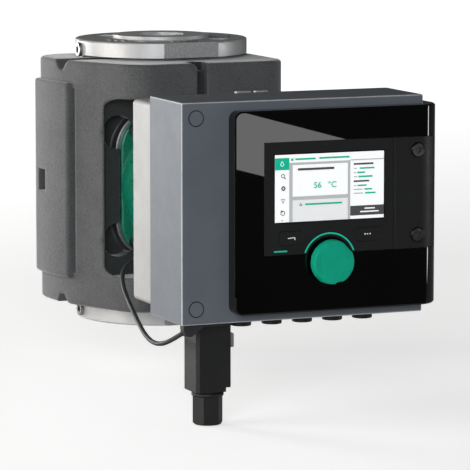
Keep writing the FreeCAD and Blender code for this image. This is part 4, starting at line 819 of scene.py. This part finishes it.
def area_light(name, place, aim, width, height, power, colour=(1.0, 1.0, 1.0), turn=0.0):
    """A rectangular light aimed at a point, which the camera itself doesn't see."""
    bpy.ops.object.light_add(type="AREA", location=place)
    light = bpy.context.object
    light.name = name
    light.data.shape = "RECTANGLE"
    light.data.size = width
    light.data.size_y = height
    light.data.energy = power
    light.data.color = colour
    light.rotation_euler = (Vector(aim) - Vector(place)).to_track_quat("-Z", "Y").to_euler()
    if turn:
        light.rotation_euler.rotate_axis("Z", math.radians(turn))
    light.visible_camera = False


def light_path_mix(tree, seen, others):
    """One shader for what the camera sees straight, another for light going round."""
    path = tree.nodes.new("ShaderNodeLightPath")
    mix = tree.nodes.new("ShaderNodeMixShader")
    tree.links.new(path.outputs["Is Camera Ray"], mix.inputs[0])
    tree.links.new(others, mix.inputs[1])
    tree.links.new(seen, mix.inputs[2])
    return mix.outputs[0]


def make_studio():
    """Six soft lights, a white surround and a pale floor just under the connector."""
    middle = (0.0, -0.15, 0.12)
    area_light("left_softbox", (-2.4, 0.0, 0.45), middle, 1.6, 1.6, 36, (1.0, 0.95, 0.88))
    area_light("rear_left_softbox", (-1.5, 2.4, 0.4), middle, 1.0, 1.4, 44)
    area_light("front_softbox", (-1.5, -2.7, 0.95), middle, 1.4, 1.2, 35, (0.93, 0.97, 1.0))
    area_light("panel_stripe", (0.72, -1.8, -0.020), (0.72, 0.0, -0.020), 0.5, 0.0715, 0.36, turn=-15.5)
    area_light("corner_strip", (2.52, -1.16, -0.8), middle, 0.24, 3.4, 28.0)
    area_light("left_edge_strip", (-2.28, -1.19, -0.1), middle, 0.1, 1.4, 4.0)
    world = bpy.data.worlds.new("studio")
    bpy.context.scene.world = world
    world.use_nodes = True
    tree = world.node_tree
    seen = tree.nodes["Background"]
    seen.inputs["Color"].default_value = (1.0, 1.0, 1.0, 1.0)
    around = tree.nodes.new("ShaderNodeBackground")
    around.inputs["Color"].default_value = (1.0, 1.0, 1.0, 1.0)
    around.inputs["Strength"].default_value = 0.05
    tree.links.new(light_path_mix(tree, seen.outputs[0], around.outputs[0]),
                   tree.nodes["World Output"].inputs["Surface"])
    floor = add_block((-9000, 9000), (-600, 12000), (-44.1, -43.1))
    floor.name = "studio_floor"
    paper = Nodes("pale_paper")
    cloud = paper.ramp(paper.noise(400), 0.0, 1.0)
    shade = paper.blend(cloud, (0.8, 0.8, 0.8, 1.0), (0.79, 0.79, 0.79, 1.0))
    paper.finish(shade, paper.ramp(paper.noise(60), 0.85, 0.95), None)
    glow = paper.add("ShaderNodeEmission")
    both = paper.add("ShaderNodeAddShader")
    paper.join(paper.ramp(paper.axes()[1], 0.62, 1.0, 0.5, 2.5), glow.inputs["Strength"])
    paper.join(paper.shader.outputs[0], both.inputs[0])
    paper.join(glow.outputs[0], both.inputs[1])
    paper.join(light_path_mix(paper.tree, both.outputs[0], paper.shader.outputs[0]),
               paper.tree.nodes["Material Output"].inputs["Surface"])
    floor.data.materials.append(paper.material)
    bpy.context.scene.view_settings.view_transform = "Standard"


# ---------------------------------------------------------------- build

place_camera()
FINISH = make_finishes()
make_lead(FINISH["lead_black"])
for part in frame["record"]["subparts"]:
    node = NODES[part["node"]]
    node.data.materials.clear()
    node.data.materials.append(FINISH[part["material_slot"]])

make_display(lit("picture_white", tone(252, 253, 253), 0.55),
             lit("picture_pale", tone(236, 237, 237), 0.5),
             lit("picture_grey", tone(186, 187, 188), 0.5),
             lit("picture_dark", tone(74, 74, 76), 0.45),
             lit("picture_green", tone(0, 180, 144), 0.5))
# painted light: the key signs and divider lines are given a glow of their own
make_key_marks(lit("key_print_glowing_white", tone(225, 225, 225), 0.4),
               lit("key_line_glowing_grey", tone(54, 54, 56), 0.02, 0.5))
make_knob()
make_plug_mark()
make_joint_shade()
make_flange_marks()
make_studio()
